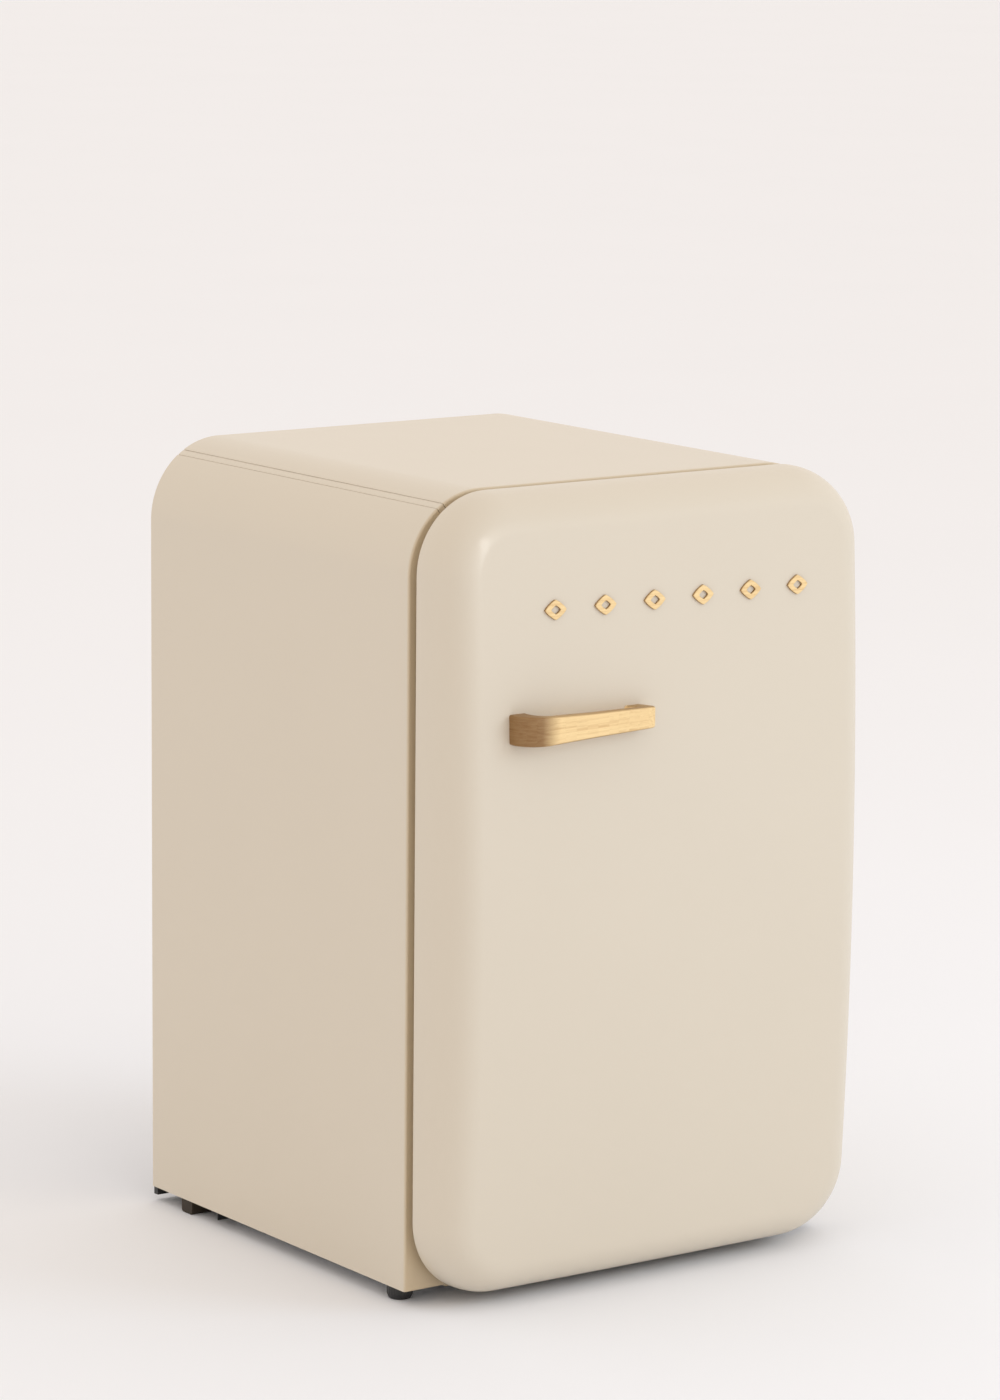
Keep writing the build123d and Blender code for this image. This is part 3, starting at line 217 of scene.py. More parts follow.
class Finish:
    """A material being made: one shader, and the calls that add nodes in front of it."""

    def __init__(self, name, **constants):
        self.name = name
        self.material = bpy.data.materials.new(f"fridge_{name}")
        self.material.use_nodes = True
        self.tree = self.material.node_tree
        self.tree.nodes.clear()
        output = self.tree.nodes.new("ShaderNodeOutputMaterial")
        self.shader = self.tree.nodes.new("ShaderNodeBsdfPrincipled")
        self.tree.links.new(self.shader.outputs[0], output.inputs[0])
        for socket, value in constants.items():
            self.shader.inputs[socket.replace("_", " ")].default_value = value

    def node(self, kind, settings=None, sockets=None, output=0):
        """Adds a node, gives it its settings and then its sockets, and returns one of its outputs."""
        made = self.tree.nodes.new(kind)
        for setting, value in (settings or {}).items():
            if setting == "stops":
                stops = made.color_ramp.elements
                while len(stops) < len(value):
                    stops.new(1.0)
                for stop, (position, tint) in zip(stops, value):
                    stop.position = position
                    stop.color = (*tint, 1.0) if hasattr(tint, "__len__") else (tint, tint, tint, 1.0)
            else:
                setattr(made, setting, value)
        for socket, value in (sockets or {}).items():
            if isinstance(value, Wire):
                self.tree.links.new(value.socket, made.inputs[socket])
            elif hasattr(value, "__len__") and len(made.inputs[socket].default_value) > len(value):
                made.inputs[socket].default_value = (*value, 1.0)
            else:
                made.inputs[socket].default_value = value
        return Wire(self, made.outputs[output])

    def feed(self, socket, wire):
        self.tree.links.new(wire.socket, self.shader.inputs[socket])

    def place(self, stretch=(1.0, 1.0, 1.0), attribute=None):
        """The point on the piece in metres, or a stored point attribute, scaled along its axes."""
        if attribute:
            point = self.node("ShaderNodeAttribute", {"attribute_name": attribute}, output=1)
        else:
            point = self.node("ShaderNodeTexCoord", output=3)
        return self.node("ShaderNodeMapping", sockets={"Vector": point, "Scale": stretch})

    def noise(self, place, scale, detail=2.0, roughness=0.5, distortion=0.0):
        return self.node("ShaderNodeTexNoise", sockets={
            "Vector": place, "Scale": scale, "Detail": detail, "Roughness": roughness,
            "Distortion": distortion,
        })

    def cells(self, place, scale, feature="F1", output=0):
        return self.node(
            "ShaderNodeTexVoronoi", {"feature": feature}, {"Vector": place, "Scale": scale}, output
        )

    def ramp(self, value, *stops):
        return self.node("ShaderNodeValToRGB", {"stops": stops}, {"Fac": value})

    def span(self, value, low, high):
        """The value, from 0 to 1, carried to low to high."""
        return self.node("ShaderNodeMapRange", sockets={"Value": value, "To Min": low, "To Max": high})

    def mix(self, factor, first, second, mode="MIX"):
        return self.node(
            "ShaderNodeMix", {"data_type": "RGBA", "blend_type": mode}, {0: factor, 6: first, 7: second}, 2
        )

    def bump(self, height, distance, strength=1.0):
        normal = self.node(
            "ShaderNodeBump", sockets={"Height": height, "Distance": distance, "Strength": strength}
        )
        self.feed("Normal", normal)


def tint(rgb, share):
    """A colour made darker or lighter by a share of itself."""
    return tuple(min(channel * share, 1.0) for channel in rgb)


def cream_paint(settings):
    """Satin enamel: faint broad mottling, the orange peel of a sprayed coat, and painted shade on the
    flange behind the door: a warmer, darker tone for the shade in the gap between the door and the cabinet."""
    cream = tuple(settings.cream)
    paint = Finish("cream_paint", IOR=1.45, Coat_Roughness=0.16)
    here = paint.place()
    broad = paint.noise(here, 5.0, 3.0)
    fine = paint.noise(here, 900.0, 1.0)
    coat = paint.mix(
        paint.span(fine, 0.0, 0.55),
        paint.mix(broad, tint(cream, 0.985), tint(cream, 1.012)),
        paint.mix(broad, tint(cream, 1.005), tint(cream, 1.03)),
    )
    # Painted shade: the coat is multiplied by the flange shade, fading out over 2.5 mm from the cabinet's
    # front plane, for the shade in the door gap.
    depth = paint.node("ShaderNodeSeparateXYZ", sockets={0: here}, output=1)
    off_flange = paint.node("ShaderNodeMath", {"operation": "ABSOLUTE"}, {0: depth - FRONT})
    on_flange = paint.node(
        "ShaderNodeMapRange", sockets={"Value": off_flange, "From Max": 0.0025, "To Min": 1.0, "To Max": 0.0}
    )
    paint.feed("Base Color", paint.mix(on_flange, coat, paint.mix(1.0, coat, FLANGE_PAINTED_SHADE, "MULTIPLY")))
    peel = paint.noise(here, 320.0, 2.0, 0.55)
    paint.feed("Roughness", paint.span(broad * 0.5 + peel * 0.5, 0.36, 0.5))
    paint.feed("Coat Weight", paint.span(broad, 0.20, 0.30))
    paint.bump(peel + fine * 0.25, 0.00012, 0.35)
    return paint


def oak(settings):
    """Oiled oak: growth lines that run along the piece, fine pores, slow changes of tone, and painted shade:
    a dark brown mixed in by a stored share on the handle's left end, its top and bottom faces and the badges'
    sides."""
    light, dark, burnt = (tuple(tone) for tone in (settings.oak_light, settings.oak_dark, settings.oak_painted_shade))
    wood = Finish("oak", IOR=1.46)
    lines = wood.noise(wood.place((5.0, 420.0, 420.0), "grain"), 1.0, 4.0, 0.6, 0.4)
    pores = wood.noise(wood.place((60.0, 2200.0, 2200.0), "grain"), 1.0, 2.0, 0.5)
    slow = wood.noise(wood.place(attribute="grain"), 30.0, 2.0)
    late = wood.ramp(lines, (0.30, 1.0), (0.47, 0.25), (0.62, 0.0))
    base = wood.mix(slow, light, tint(light, 0.94))
    grown = wood.mix(late * 0.7, base, dark)
    pore = wood.ramp(pores, (0.28, 1.0), (0.40, 0.0))
    plain = wood.mix(pore * 0.3, grown, tint(dark, 0.7))
    # Painted shade: the stored share mixes in the dark brown, weakened by up to a quarter by the growth
    # lines.
    painted_shade_share = wood.node("ShaderNodeAttribute", {"attribute_name": "burnt"}, output=2)
    wood.feed("Base Color", wood.mix(painted_shade_share * wood.span(lines, 1.0, 0.75), plain, burnt))
    wood.feed("Roughness", wood.span(lines, 0.58, 0.42))
    wood.bump(lines * 0.5 - pore * 0.5, 0.00022, 0.5)
    return wood


def moulded_plastic(name, base, rough, grain=500.0, depth=0.00008, **constants):
    """Moulded plastic: a fine even texture and a faint change of tone."""
    plastic = Finish(name, IOR=1.5, **constants)
    here = plastic.place()
    broad = plastic.noise(here, 9.0, 3.0)
    fine = plastic.noise(here, grain, 2.0)
    plastic.feed("Base Color", plastic.mix(broad, tint(base, 0.96), tint(base, 1.03)))
    plastic.feed("Roughness", plastic.span(fine, rough - 0.06, rough + 0.08))
    plastic.bump(fine, depth, 0.5)
    return plastic


def clear_plastic():
    """Clear polystyrene with faint flow marks and handling haze."""
    clear = Finish("clear_plastic", IOR=1.49, Transmission_Weight=0.94)
    here = clear.place()
    flow = clear.noise(clear.place((1.0, 4.0, 9.0)), 6.0, 2.0)
    clear.feed("Base Color", clear.mix(flow, (0.93, 0.96, 0.965), (0.97, 0.985, 0.985)))
    clear.feed("Roughness", clear.span(clear.noise(here, 60.0, 3.0), 0.03, 0.14))
    clear.bump(flow, 0.0002, 0.3)
    return clear


def shelf_glass():
    """Toughened glass with a green cast and faint wipe marks. It is see-through by its alpha, so that
    light reaches the space below it."""
    glass = Finish("shelf_glass", IOR=1.52, Alpha=0.32)
    wipe = glass.noise(glass.place((2.0, 26.0, 1.0)), 5.0, 3.0)
    glass.feed("Base Color", glass.mix(wipe, (0.34, 0.52, 0.45), (0.44, 0.62, 0.55)))
    glass.feed("Roughness", glass.span(wipe, 0.0, 0.06))
    return glass


def frosted_lens():
    """A milky lamp cover with moulded ribs."""
    lens = Finish("frosted_lens", IOR=1.49, Transmission_Weight=0.35)
    ribs = lens.node(
        "ShaderNodeTexWave", {"bands_direction": "Z"}, {"Vector": lens.place(), "Scale": 60.0}, 1
    )
    lens.feed("Base Color", lens.mix(ribs, (0.86, 0.86, 0.82), (0.93, 0.93, 0.90)))
    lens.feed("Roughness", lens.span(lens.noise(lens.place(), 700.0), 0.32, 0.5))
    lens.bump(ribs, 0.0006, 0.6)
    return lens


def zinc_steel():
    """Galvanised sheet: crystal spangle, faint rolling lines and a dull sheen."""
    zinc = Finish("zinc_steel", Metallic=1.0)
    here = zinc.place()
    spangle = zinc.cells(here, 95.0, output=1)
    grey = zinc.node("ShaderNodeRGBToBW", sockets={0: spangle})
    rolled = zinc.noise(zinc.place((2.0, 2.0, 140.0)), 3.0, 2.0)
    zinc.feed("Base Color", zinc.mix(grey * 0.6 + rolled * 0.3, (0.50, 0.51, 0.52), (0.68, 0.69, 0.70)))
    zinc.feed("Roughness", zinc.span(grey, 0.34, 0.52))
    zinc.bump(zinc.noise(here, 260.0, 3.0), 0.0001, 0.4)
    return zinc


def brushed_metal(name, dark, light, rough, stretch):
    """Metal with fine brushing along one axis and cloudy handling marks."""
    metal = Finish(name, Metallic=1.0)
    brush = metal.noise(metal.place(stretch), 10.0, 4.0, 0.6)
    cloud = metal.noise(metal.place(), 26.0, 3.0)
    metal.feed("Base Color", metal.mix(brush * 0.6 + cloud * 0.4, dark, light))
    metal.feed("Roughness", metal.span(brush * 0.5 + cloud * 0.5, rough - 0.08, rough + 0.12))
    metal.bump(brush, 0.00008, 0.5)
    return metal


def black_enamel():
    """Dipped black enamel with dust on it and a slight ripple."""
    enamel = Finish("black_metal", IOR=1.5)
    here = enamel.place()
    dust = enamel.ramp(enamel.noise(here, 40.0, 5.0, 0.65), (0.45, 0.0), (0.75, 1.0))
    enamel.feed("Base Color", enamel.mix(dust * 0.35, (0.012, 0.012, 0.013), (0.10, 0.095, 0.088)))
    enamel.feed("Roughness", enamel.span(dust, 0.28, 0.62))
    enamel.bump(enamel.noise(here, 180.0, 2.0), 0.00015, 0.4)
    return enamel


def copper():
    """Drawn copper tube with patches of brown tarnish."""
    tube = Finish("copper", Metallic=1.0)
    patches = tube.ramp(tube.noise(tube.place(), 55.0, 4.0, 0.6), (0.38, 0.0), (0.66, 1.0))
    tube.feed("Base Color", tube.mix(patches, (0.80, 0.40, 0.24), (0.36, 0.17, 0.10)))
    tube.feed("Roughness", tube.span(patches, 0.24, 0.5))
    tube.bump(tube.noise(tube.place(), 420.0), 0.00005, 0.4)
    return tube


def foam():
    """Blown foam: pale yellow cells."""
    blown = Finish("foam", IOR=1.3)
    cells = blown.cells(blown.place(), 900.0)
    broad = blown.noise(blown.place(), 18.0, 3.0)
    blown.feed("Base Color", blown.mix(cells * 0.6 + broad * 0.4, (0.66, 0.52, 0.28), (0.83, 0.72, 0.46)))
    blown.feed("Roughness", blown.span(cells, 0.8, 0.95))
    blown.bump(cells, 0.0005, 0.7)
    return blown


def floor_paper(settings):
    """Seamless paper: pale, matt and a little mottled."""
    paper = Finish("floor_paper", IOR=1.4)
    here = paper.place()
    broad = paper.noise(here, 1.3, 2.0)
    tone = tuple(settings.floor)
    paper.feed("Base Color", paper.mix(broad, tint(tone, 0.992), tint(tone, 1.006)))
    paper.feed("Roughness", paper.span(paper.noise(here, 400.0), 0.82, 0.95))
    return paper


def make_finishes(settings):
    """Every finish of the fridge, by its name."""
    return {made.name: made.material for made in (
        cream_paint(settings),
        oak(settings),
        moulded_plastic("white_plastic", tuple(settings.liner), 0.36, 420.0, 0.00006),
        moulded_plastic("shelf_trim", (0.78, 0.77, 0.74), 0.34),
        moulded_plastic("dark_rubber", (0.030, 0.020, 0.010), 0.62, 700.0, 0.0002),
        moulded_plastic("black_plastic", (0.020, 0.020, 0.021), 0.42, 800.0, 0.0001),
        moulded_plastic("gasket_vinyl", tuple(settings.gasket), 0.5, 900.0, 0.00008),
        clear_plastic(),
        shelf_glass(),
        frosted_lens(),
        zinc_steel(),
        brushed_metal("hinge_steel", (0.52, 0.52, 0.53), (0.74, 0.74, 0.75), 0.30, (3.0, 3.0, 160.0)),
        brushed_metal("ice_aluminium", (0.70, 0.71, 0.72), (0.88, 0.89, 0.90), 0.36, (3.0, 110.0, 110.0)),
        black_enamel(),
        copper(),
        foam(),
    )}


FINISHES = {}


def finish(name):
    """The finish of this name; the first call makes all of them."""
    if not FINISHES:
        FINISHES.update(make_finishes(bpy.context.scene.fridge_finishes))
    return FINISHES[name]


# ======== meshes ========

def grid_quads(rows, columns, wrap=False):
    """Quads between neighbouring rows and columns of points numbered row by row."""
    row = np.arange(rows - 1)[:, None] * columns
    here = np.arange(columns if wrap else columns - 1)[None, :]
    there = (here + 1) % columns
    return np.stack([row + here, row + there, row + columns + there, row + columns + here], -1).reshape(-1, 4)


class Shell:
    """Points and faces gathered into one mesh."""

    def __init__(self):
        self.points = []
        self.faces = []
        self.count = 0

    def add(self, points, faces):
        points = np.asarray(points, float).reshape(-1, 3)
        self.points.append(points)
        self.faces.extend((np.asarray(faces) + self.count).tolist())
        self.count += len(points)

    def tube(self, grid):
        """A closed skin over rows of a closed loop, with a fan over each end."""
        rows, columns = grid.shape[:2]
        self.add(grid, grid_quads(rows, columns, wrap=True))
        last = self.count
        for start, ring in ((last - rows * columns, grid[0]), (last - columns, grid[-1])):
            centre = self.count
            self.points.append(ring.mean(0)[None, :])
            self.count += 1
            edge = start + np.arange(columns)
            self.faces.extend(
                np.stack([edge, np.roll(edge, -1), np.full(columns, centre)], -1).tolist()
            )

    def sheet(self, grid):
        """A closed skin over rows of a sheet's outline, which runs out along one face and back along
        the other, with each end filled between the two faces."""
        rows, columns = grid.shape[:2]
        start = self.count
        self.add(grid, grid_quads(rows, columns, wrap=True))
        step = np.arange(columns // 2 - 1)
        for base in (start, start + (rows - 1) * columns):
            self.faces.extend(np.stack([
                base + step, base + step + 1, base + columns - 2 - step, base + columns - 1 - step
            ], -1).tolist())


def closed_mesh(name, points, faces):
    """A mesh with its doubles merged and its faces turned outwards."""
    mesh = bpy.data.meshes.new(name)
    mesh.from_pydata(np.asarray(points).tolist(), [], faces)
    tidy = bmesh.new()
    tidy.from_mesh(mesh)
    bmesh.ops.remove_doubles(tidy, verts=tidy.verts, dist=1e-6)
    bmesh.ops.recalc_face_normals(tidy, faces=tidy.faces)
    tidy.to_mesh(mesh)
    tidy.free()
    return mesh


def stand_in(node, mesh, material, sharp):
    """The piece that stands for a node and rides on its body, with edges over the sharp angle kept
    crisp."""
    mesh.shade_smooth()
    mesh.set_sharp_from_angle(angle=math.radians(sharp))
    mesh.materials.append(finish(material))
    piece = bpy.data.objects.new(f"{node}_piece", mesh)
    bpy.context.collection.objects.link(piece)
    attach(piece, BODY_OF[node])
    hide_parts(node)
    return piece


def make_piece(node, shell, material, sharp=35.0):
    """A finished piece from gathered points."""
    mesh = closed_mesh(f"{node}_piece", np.concatenate(shell.points), shell.faces)
    mesh.validate()
    return stand_in(node, mesh, material, sharp)


def store_grain(piece, points, burnt):
    """Keeps a point for every vertex, by which the wood's grain runs along the piece, and how much painted
    shade darkens the wood there."""
    attribute = piece.data.attributes.new("grain", "FLOAT_VECTOR", "POINT")
    attribute.data.foreach_set("vector", np.asarray(points, np.float32).ravel())
    attribute = piece.data.attributes.new("burnt", "FLOAT", "POINT")
    attribute.data.foreach_set("value", np.asarray(burnt, np.float32))


def vertex_array(mesh):
    points = np.empty(len(mesh.vertices) * 3)
    mesh.vertices.foreach_get("co", points)
    return points.reshape(-1, 3)


def machined(node, material, edge=0.0005, steps=2, angle=32.0, weigh=None):
    """A part kept as designed: a merged copy of it with its flat faces whole and its edges broken by a
    small bevel. weigh gives each sharp edge's share of the bevel from its middle point."""
    source = frame["nodes"][node].data
    mesh = bpy.data.meshes.new(f"{node}_piece")
    faces = [tuple(face.vertices) for face in source.polygons]
    mesh.from_pydata(vertex_array(source).tolist(), [], faces)
    tidy = bmesh.new()
    tidy.from_mesh(mesh)
    bmesh.ops.remove_doubles(tidy, verts=tidy.verts, dist=2e-6)
    bmesh.ops.dissolve_limit(
        tidy, angle_limit=math.radians(0.3), verts=tidy.verts, edges=tidy.edges, delimit=set()
    )
    if weigh:
        layer = tidy.edges.layers.float.new("bevel_weight_edge")
        for line in tidy.edges:
            turn = line.calc_face_angle(0.0)
            if turn > math.radians(angle):
                line[layer] = weigh((line.verts[0].co + line.verts[1].co) / 2)
    tidy.to_mesh(mesh)
    tidy.free()
    piece = stand_in(node, mesh, material, angle)
    if edge:
        bevel = piece.modifiers.new("broken_edges", "BEVEL")
        bevel.width = edge
        bevel.segments = steps
        bevel.limit_method = "WEIGHT" if weigh else "ANGLE"
        bevel.angle_limit = math.radians(angle)
        bevel.harden_normals = True
    return piece


def cut(piece, operation, tool):
    """Cuts a piece with a closed tool shape, or keeps only what they share, and drops the tool."""
    step = piece.modifiers.new("cut", "BOOLEAN")
    step.operation = operation
    step.solver = "EXACT"
    step.object = tool
    bpy.context.view_layer.update()
    whole = piece.evaluated_get(bpy.context.evaluated_depsgraph_get())
    mesh = bpy.data.meshes.new_from_object(whole)
    piece.modifiers.remove(step)
    old = piece.data
    mesh.name = old.name
    piece.data = mesh
    bpy.data.meshes.remove(old)
    bpy.data.objects.remove(tool)


def tool_shape(points, faces):
    """A closed shape that only cuts others."""
    tool = bpy.data.objects.new("tool", closed_mesh("tool", points, faces))
    bpy.context.collection.objects.link(tool)
    return tool


# ======== outlines ========

CORNER_STEPS = 12
ACROSS_STEPS = 40
UPRIGHT_STEPS = 70


def rounded_loop(half_width, bottom, top, radius):
    """Points (x, z) round an upright rounded rectangle, from the middle of its lower left corner.
    Each side is half a corner arc, a straight run and half an arc, with the same steps at any size."""
    turn = np.linspace(0, math.pi / 4, CORNER_STEPS, endpoint=False)
    reach, low, high = half_width - radius, bottom + radius, top - radius
    centres = np.array([(-reach, low), (reach, low), (reach, high), (-reach, high)])
    outwards = np.array([(0, -1), (1, 0), (0, 1), (-1, 0)])
    runs = []
    for side, steps in enumerate((ACROSS_STEPS, UPRIGHT_STEPS, ACROSS_STEPS, UPRIGHT_STEPS)):
        start = math.radians(225 + 90 * side)
        leaving, arriving = (
            centre + radius * np.stack([np.cos(angles), np.sin(angles)], -1)
            for centre, angles in (
                (centres[side], start + turn), (centres[(side + 1) % 4], start + math.pi / 4 + turn)
            )
        )
        first = centres[side] + radius * outwards[side]
        share = np.linspace(0, 1, steps, endpoint=False)[:, None]
        runs += [leaving, first + (arriving[:1] - first) * share, arriving]
    return np.concatenate(runs)


SIDE_COUNTS = (2 * CORNER_STEPS + ACROSS_STEPS, 2 * CORNER_STEPS + UPRIGHT_STEPS)


def patch(loop):
    """Fills a loop of four matched sides: each inner point is the sum of the two straight blends
    between opposite sides, less the blend of the four corners."""
    wide, tall = SIDE_COUNTS
    closed = np.concatenate([loop, loop[:1]])
    low = closed[: wide + 1]
    right = closed[wide: wide + tall + 1]
    high = closed[wide + tall: 2 * wide + tall + 1][::-1]
    left = closed[2 * wide + tall:][::-1]
    s = np.linspace(0, 1, wide + 1)[None, :, None]
    t = np.linspace(0, 1, tall + 1)[:, None, None]
    across = left[:, None] * (1 - s) + right[:, None] * s
    upright = low[None] * (1 - t) + high[None] * t
    both = (low[0] * (1 - s) + low[-1] * s) * (1 - t) + (high[0] * (1 - s) + high[-1] * s) * t
    return across + upright - both


def add_patch(shell, loop, depth):
    """A filled loop whose depth is a function of its place."""
    flat = patch(loop)
    x, z = flat[..., 0], flat[..., 1]
    rows, columns = flat.shape[:2]
    shell.add(np.stack([x, depth(x, z), z], -1), grid_quads(rows, columns))


def door_loop(inset, sizes):
    return rounded_loop(HALF - inset, DOOR_BOTTOM + inset, TOP - inset, sizes.corner - inset)


def door_crown(x, z, sizes):
    """How far the door's face falls back: the squares of the shares of half the width and height."""
    upright = (z - DOOR_MIDDLE) / DOOR_HALF_HEIGHT
    return sizes.crown_across * (x / HALF) ** 2 + sizes.crown_high * upright ** 2


def door_front_y(x, z, sizes):
    """The depth of the door's face away from its rolled edge."""
    return DOOR_FACE + door_crown(x, z, sizes)


def door_rings(sizes, wall):
    """Rings from the face to the back of the door, with the skin's outside sunk by wall. Over the
    rolled edge, inset and depth are the two sides of a super-ellipse of power ROLL_POWER."""
    turn = np.linspace(0, math.pi / 2, ROLL_STEPS)
    inset = sizes.roll_inset * (1 - np.cos(turn) ** (2 / ROLL_POWER))
    share = 1 - np.sin(turn) ** (2 / ROLL_POWER)
    rings = []
    for d in np.linspace(FLAT_INSET, sizes.roll_inset, 4, endpoint=False):
        loop = door_loop(d, sizes)
        y = door_front_y(loop[:, 0], loop[:, 1], sizes) + wall
        rings.append(np.stack([loop[:, 0], y, loop[:, 1]], -1))
    for d, part in zip(inset[::-1], share[::-1]):
        loop = door_loop(max(d, 0.0) + wall * (1 - d / sizes.roll_inset), sizes)
        fall = door_crown(loop[:, 0], loop[:, 1], sizes)
        roll = (sizes.roll_depth - CROWN_SHARE * fall) * part
        y = DOOR_FACE + fall + roll + wall * (d / sizes.roll_inset)
        rings.append(np.stack([loop[:, 0], y, loop[:, 1]], -1))
    edge = rings[-1]
    stop = DOOR_BACK - sizes.back_bend
    for part in (0.35, 0.7, 1.0):
        level = edge.copy()
        level[:, 1] = edge[:, 1] + (stop - edge[:, 1]) * part
        rings.append(level)
    for turn in np.linspace(0, math.pi / 2, 6)[1:]:
        radius = sizes.back_bend - wall
        loop = door_loop(wall + radius * (1 - math.cos(turn)), sizes)
        y = np.full(len(loop), stop + radius * math.sin(turn))
        rings.append(np.stack([loop[:, 0], y, loop[:, 1]], -1))
    loop = door_loop(sizes.back_return, sizes)
    rings.append(np.stack([loop[:, 0], np.full(len(loop), DOOR_BACK - wall), loop[:, 1]], -1))
    return rings


def add_door_face(shell, sizes, wall):
    """The crown of the door's face inside its rings, sunk by wall."""
    add_patch(shell, door_loop(FLAT_INSET, sizes), lambda x, z: door_front_y(x, z, sizes) + wall)


def hinge_slot_tool(low, high):
    """The room that a hinge leaf needs in the door: a slot round the pin, open at the side and back."""
    pin_low, pin_high = corners("hinge_pins")
    middle = (pin_low[:2] + pin_high[:2]) / 2
    half_slot = 0.007
    reach = 0.090
    last = math.radians(-30)
    start = np.array([half_slot * math.sin(last), -half_slot * math.cos(last)])
    far = start + reach * np.array([math.cos(last), math.sin(last)])
    turn = np.linspace(math.radians(180), math.radians(270) + last, 14)
    curve = half_slot * np.stack([np.cos(turn), np.sin(turn)], -1)
    outline = np.concatenate([[(-half_slot, reach)], curve, [far, (reach, reach)]]) + middle
    count = len(outline)
    points = np.concatenate([
        np.column_stack([outline, np.full(count, low)]), np.column_stack([outline, np.full(count, high)])
    ])
    faces = [tuple(range(count)), tuple(range(count, 2 * count))]
    faces += [(i, (i + 1) % count, count + (i + 1) % count, count + i) for i in range(count)]
    return tool_shape(points, faces)


def cut_hinge_slots(piece):
    """A slot in the door for each hinge leaf, a little higher than the leaf."""
    room = 0.0012
    leaf = 0.004
    for name in ("upper_hinge_bracket", "lower_hinge_bracket"):
        low, high = corners(name)
        middle = (low[2] + high[2]) / 2
        cut(piece, "DIFFERENCE", hinge_slot_tool(middle - leaf / 2 - room, middle + leaf / 2 + room))


# ======== operators ========

class FRIDGE_OT_door_skin(bpy.types.Operator):
    """Make the door's pillow-shaped steel skin, with its back fold and hinge slots"""
    bl_idname = "fridge.door_skin"
    bl_label = "Door skin"

    def execute(self, context):
        sizes = context.scene.fridge_door
        outer, inner = door_rings(sizes, 0.0), door_rings(sizes, sizes.wall)
        shell = Shell()
        grid = np.stack(outer + inner[::-1])
        shell.add(grid, grid_quads(len(grid), grid.shape[1], wrap=True))
        add_door_face(shell, sizes, 0.0)
        add_door_face(shell, sizes, sizes.wall)
        piece = make_piece("door_skin", shell, "cream_paint")
        cut_hinge_slots(piece)
        piece.data.set_sharp_from_angle(angle=math.radians(35))
        return {"FINISHED"}


class FRIDGE_OT_door_foam(bpy.types.Operator):
    """Make the door's foam core, kept inside the skin's rolled edge"""
    bl_idname = "fridge.door_foam"
    bl_label = "Door foam"

    def execute(self, context):
        sizes = context.scene.fridge_door
        piece = machined("door_foam", "foam", edge=0.0)
        room = Shell()
        inside = sizes.wall + CLEARANCE
        past_back = FRONT + 0.1
        back_rings = 7
        rings = door_rings(sizes, inside)[:-back_rings]
        last = rings[-1].copy()
        last[:, 1] = past_back
        grid = np.stack(rings + [last])
        room.add(grid, grid_quads(len(grid), grid.shape[1], wrap=True))
        add_door_face(room, sizes, inside)
        add_patch(room, rings[-1][:, [0, 2]], lambda x, z: np.full(x.shape, past_back))
        cut(piece, "INTERSECT", tool_shape(np.concatenate(room.points), room.faces))
        piece.data.set_sharp_from_angle(angle=math.radians(32))
        return {"FINISHED"}


class FRIDGE_OT_panels(bpy.types.Operator):
    """Make the roof and side panels with folded front flanges and rolled seam edges"""
    bl_idname = "fridge.panels"
    bl_label = "Cabinet panels"

    def execute(self, context):
        sizes = context.scene.fridge_cabinet
        left = Shell()
        add_panel(left, sizes, side_stations(sizes, SEAM_SIDE, sizes.seam_fold), 0.0, sizes.sheet)
        add_panel(left, sizes, lap_stations(sizes), LAP_SINK, sizes.sheet - LAP_SINK - CLEARANCE)
        add_side_return(left, sizes)
        right = Shell()
        right.points = [points * (-1, 1, 1) for points in left.points]
        right.faces = left.faces
        roof = Shell()
        add_panel(roof, sizes, roof_stations(sizes, SEAM_TOP, sizes.seam_fold), 0.0, sizes.sheet)
        make_piece("left_side_panel", left, "cream_paint")
        make_piece("right_side_panel", right, "cream_paint")
        make_piece("top_panel", roof, "cream_paint")
        machined("front_rail", "cream_paint", 0.0010, 3)
        return {"FINISHED"}


def arc_station(sizes, angles):
    """Places and inward directions on the cabinet's top left corner arc."""
    out = np.stack([np.cos(angles), np.sin(angles)], -1)
    centre = np.array([sizes.corner - HALF, TOP - sizes.corner])
    return centre + sizes.corner * out, -out


def fold(sizes, seam, radius, way):
    """The last stretch before a seam: a quarter turn that sinks the sheet's edge by the fold's radius."""
    turn = np.linspace(0, math.pi / 2, 7)
    angles = seam - way * (radius - radius * np.sin(turn)) / sizes.corner
    place, inwards = arc_station(sizes, angles)
    return place, inwards, radius * (1 - np.cos(turn))


def side_stations(sizes, seam, radius):
    """Stations up the left side and round the arc to its seam: place, inward direction and sink."""
    straight = np.linspace(PANEL_BOTTOM, TOP - sizes.corner, 40, endpoint=False)
    side = np.stack([np.full(len(straight), -HALF), straight], -1)
    inwards = np.tile([1.0, 0.0], (len(straight), 1))
    angles = np.linspace(math.pi, seam + radius / sizes.corner, 26, endpoint=False)
    arc_place, arc_in = arc_station(sizes, angles)
    fold_place, fold_in, sink = fold(sizes, seam, radius, -1)
    return (
        np.concatenate([side, arc_place, fold_place]),
        np.concatenate([inwards, arc_in, fold_in]),
        np.concatenate([np.zeros(len(side) + len(arc_place)), sink]),
    )


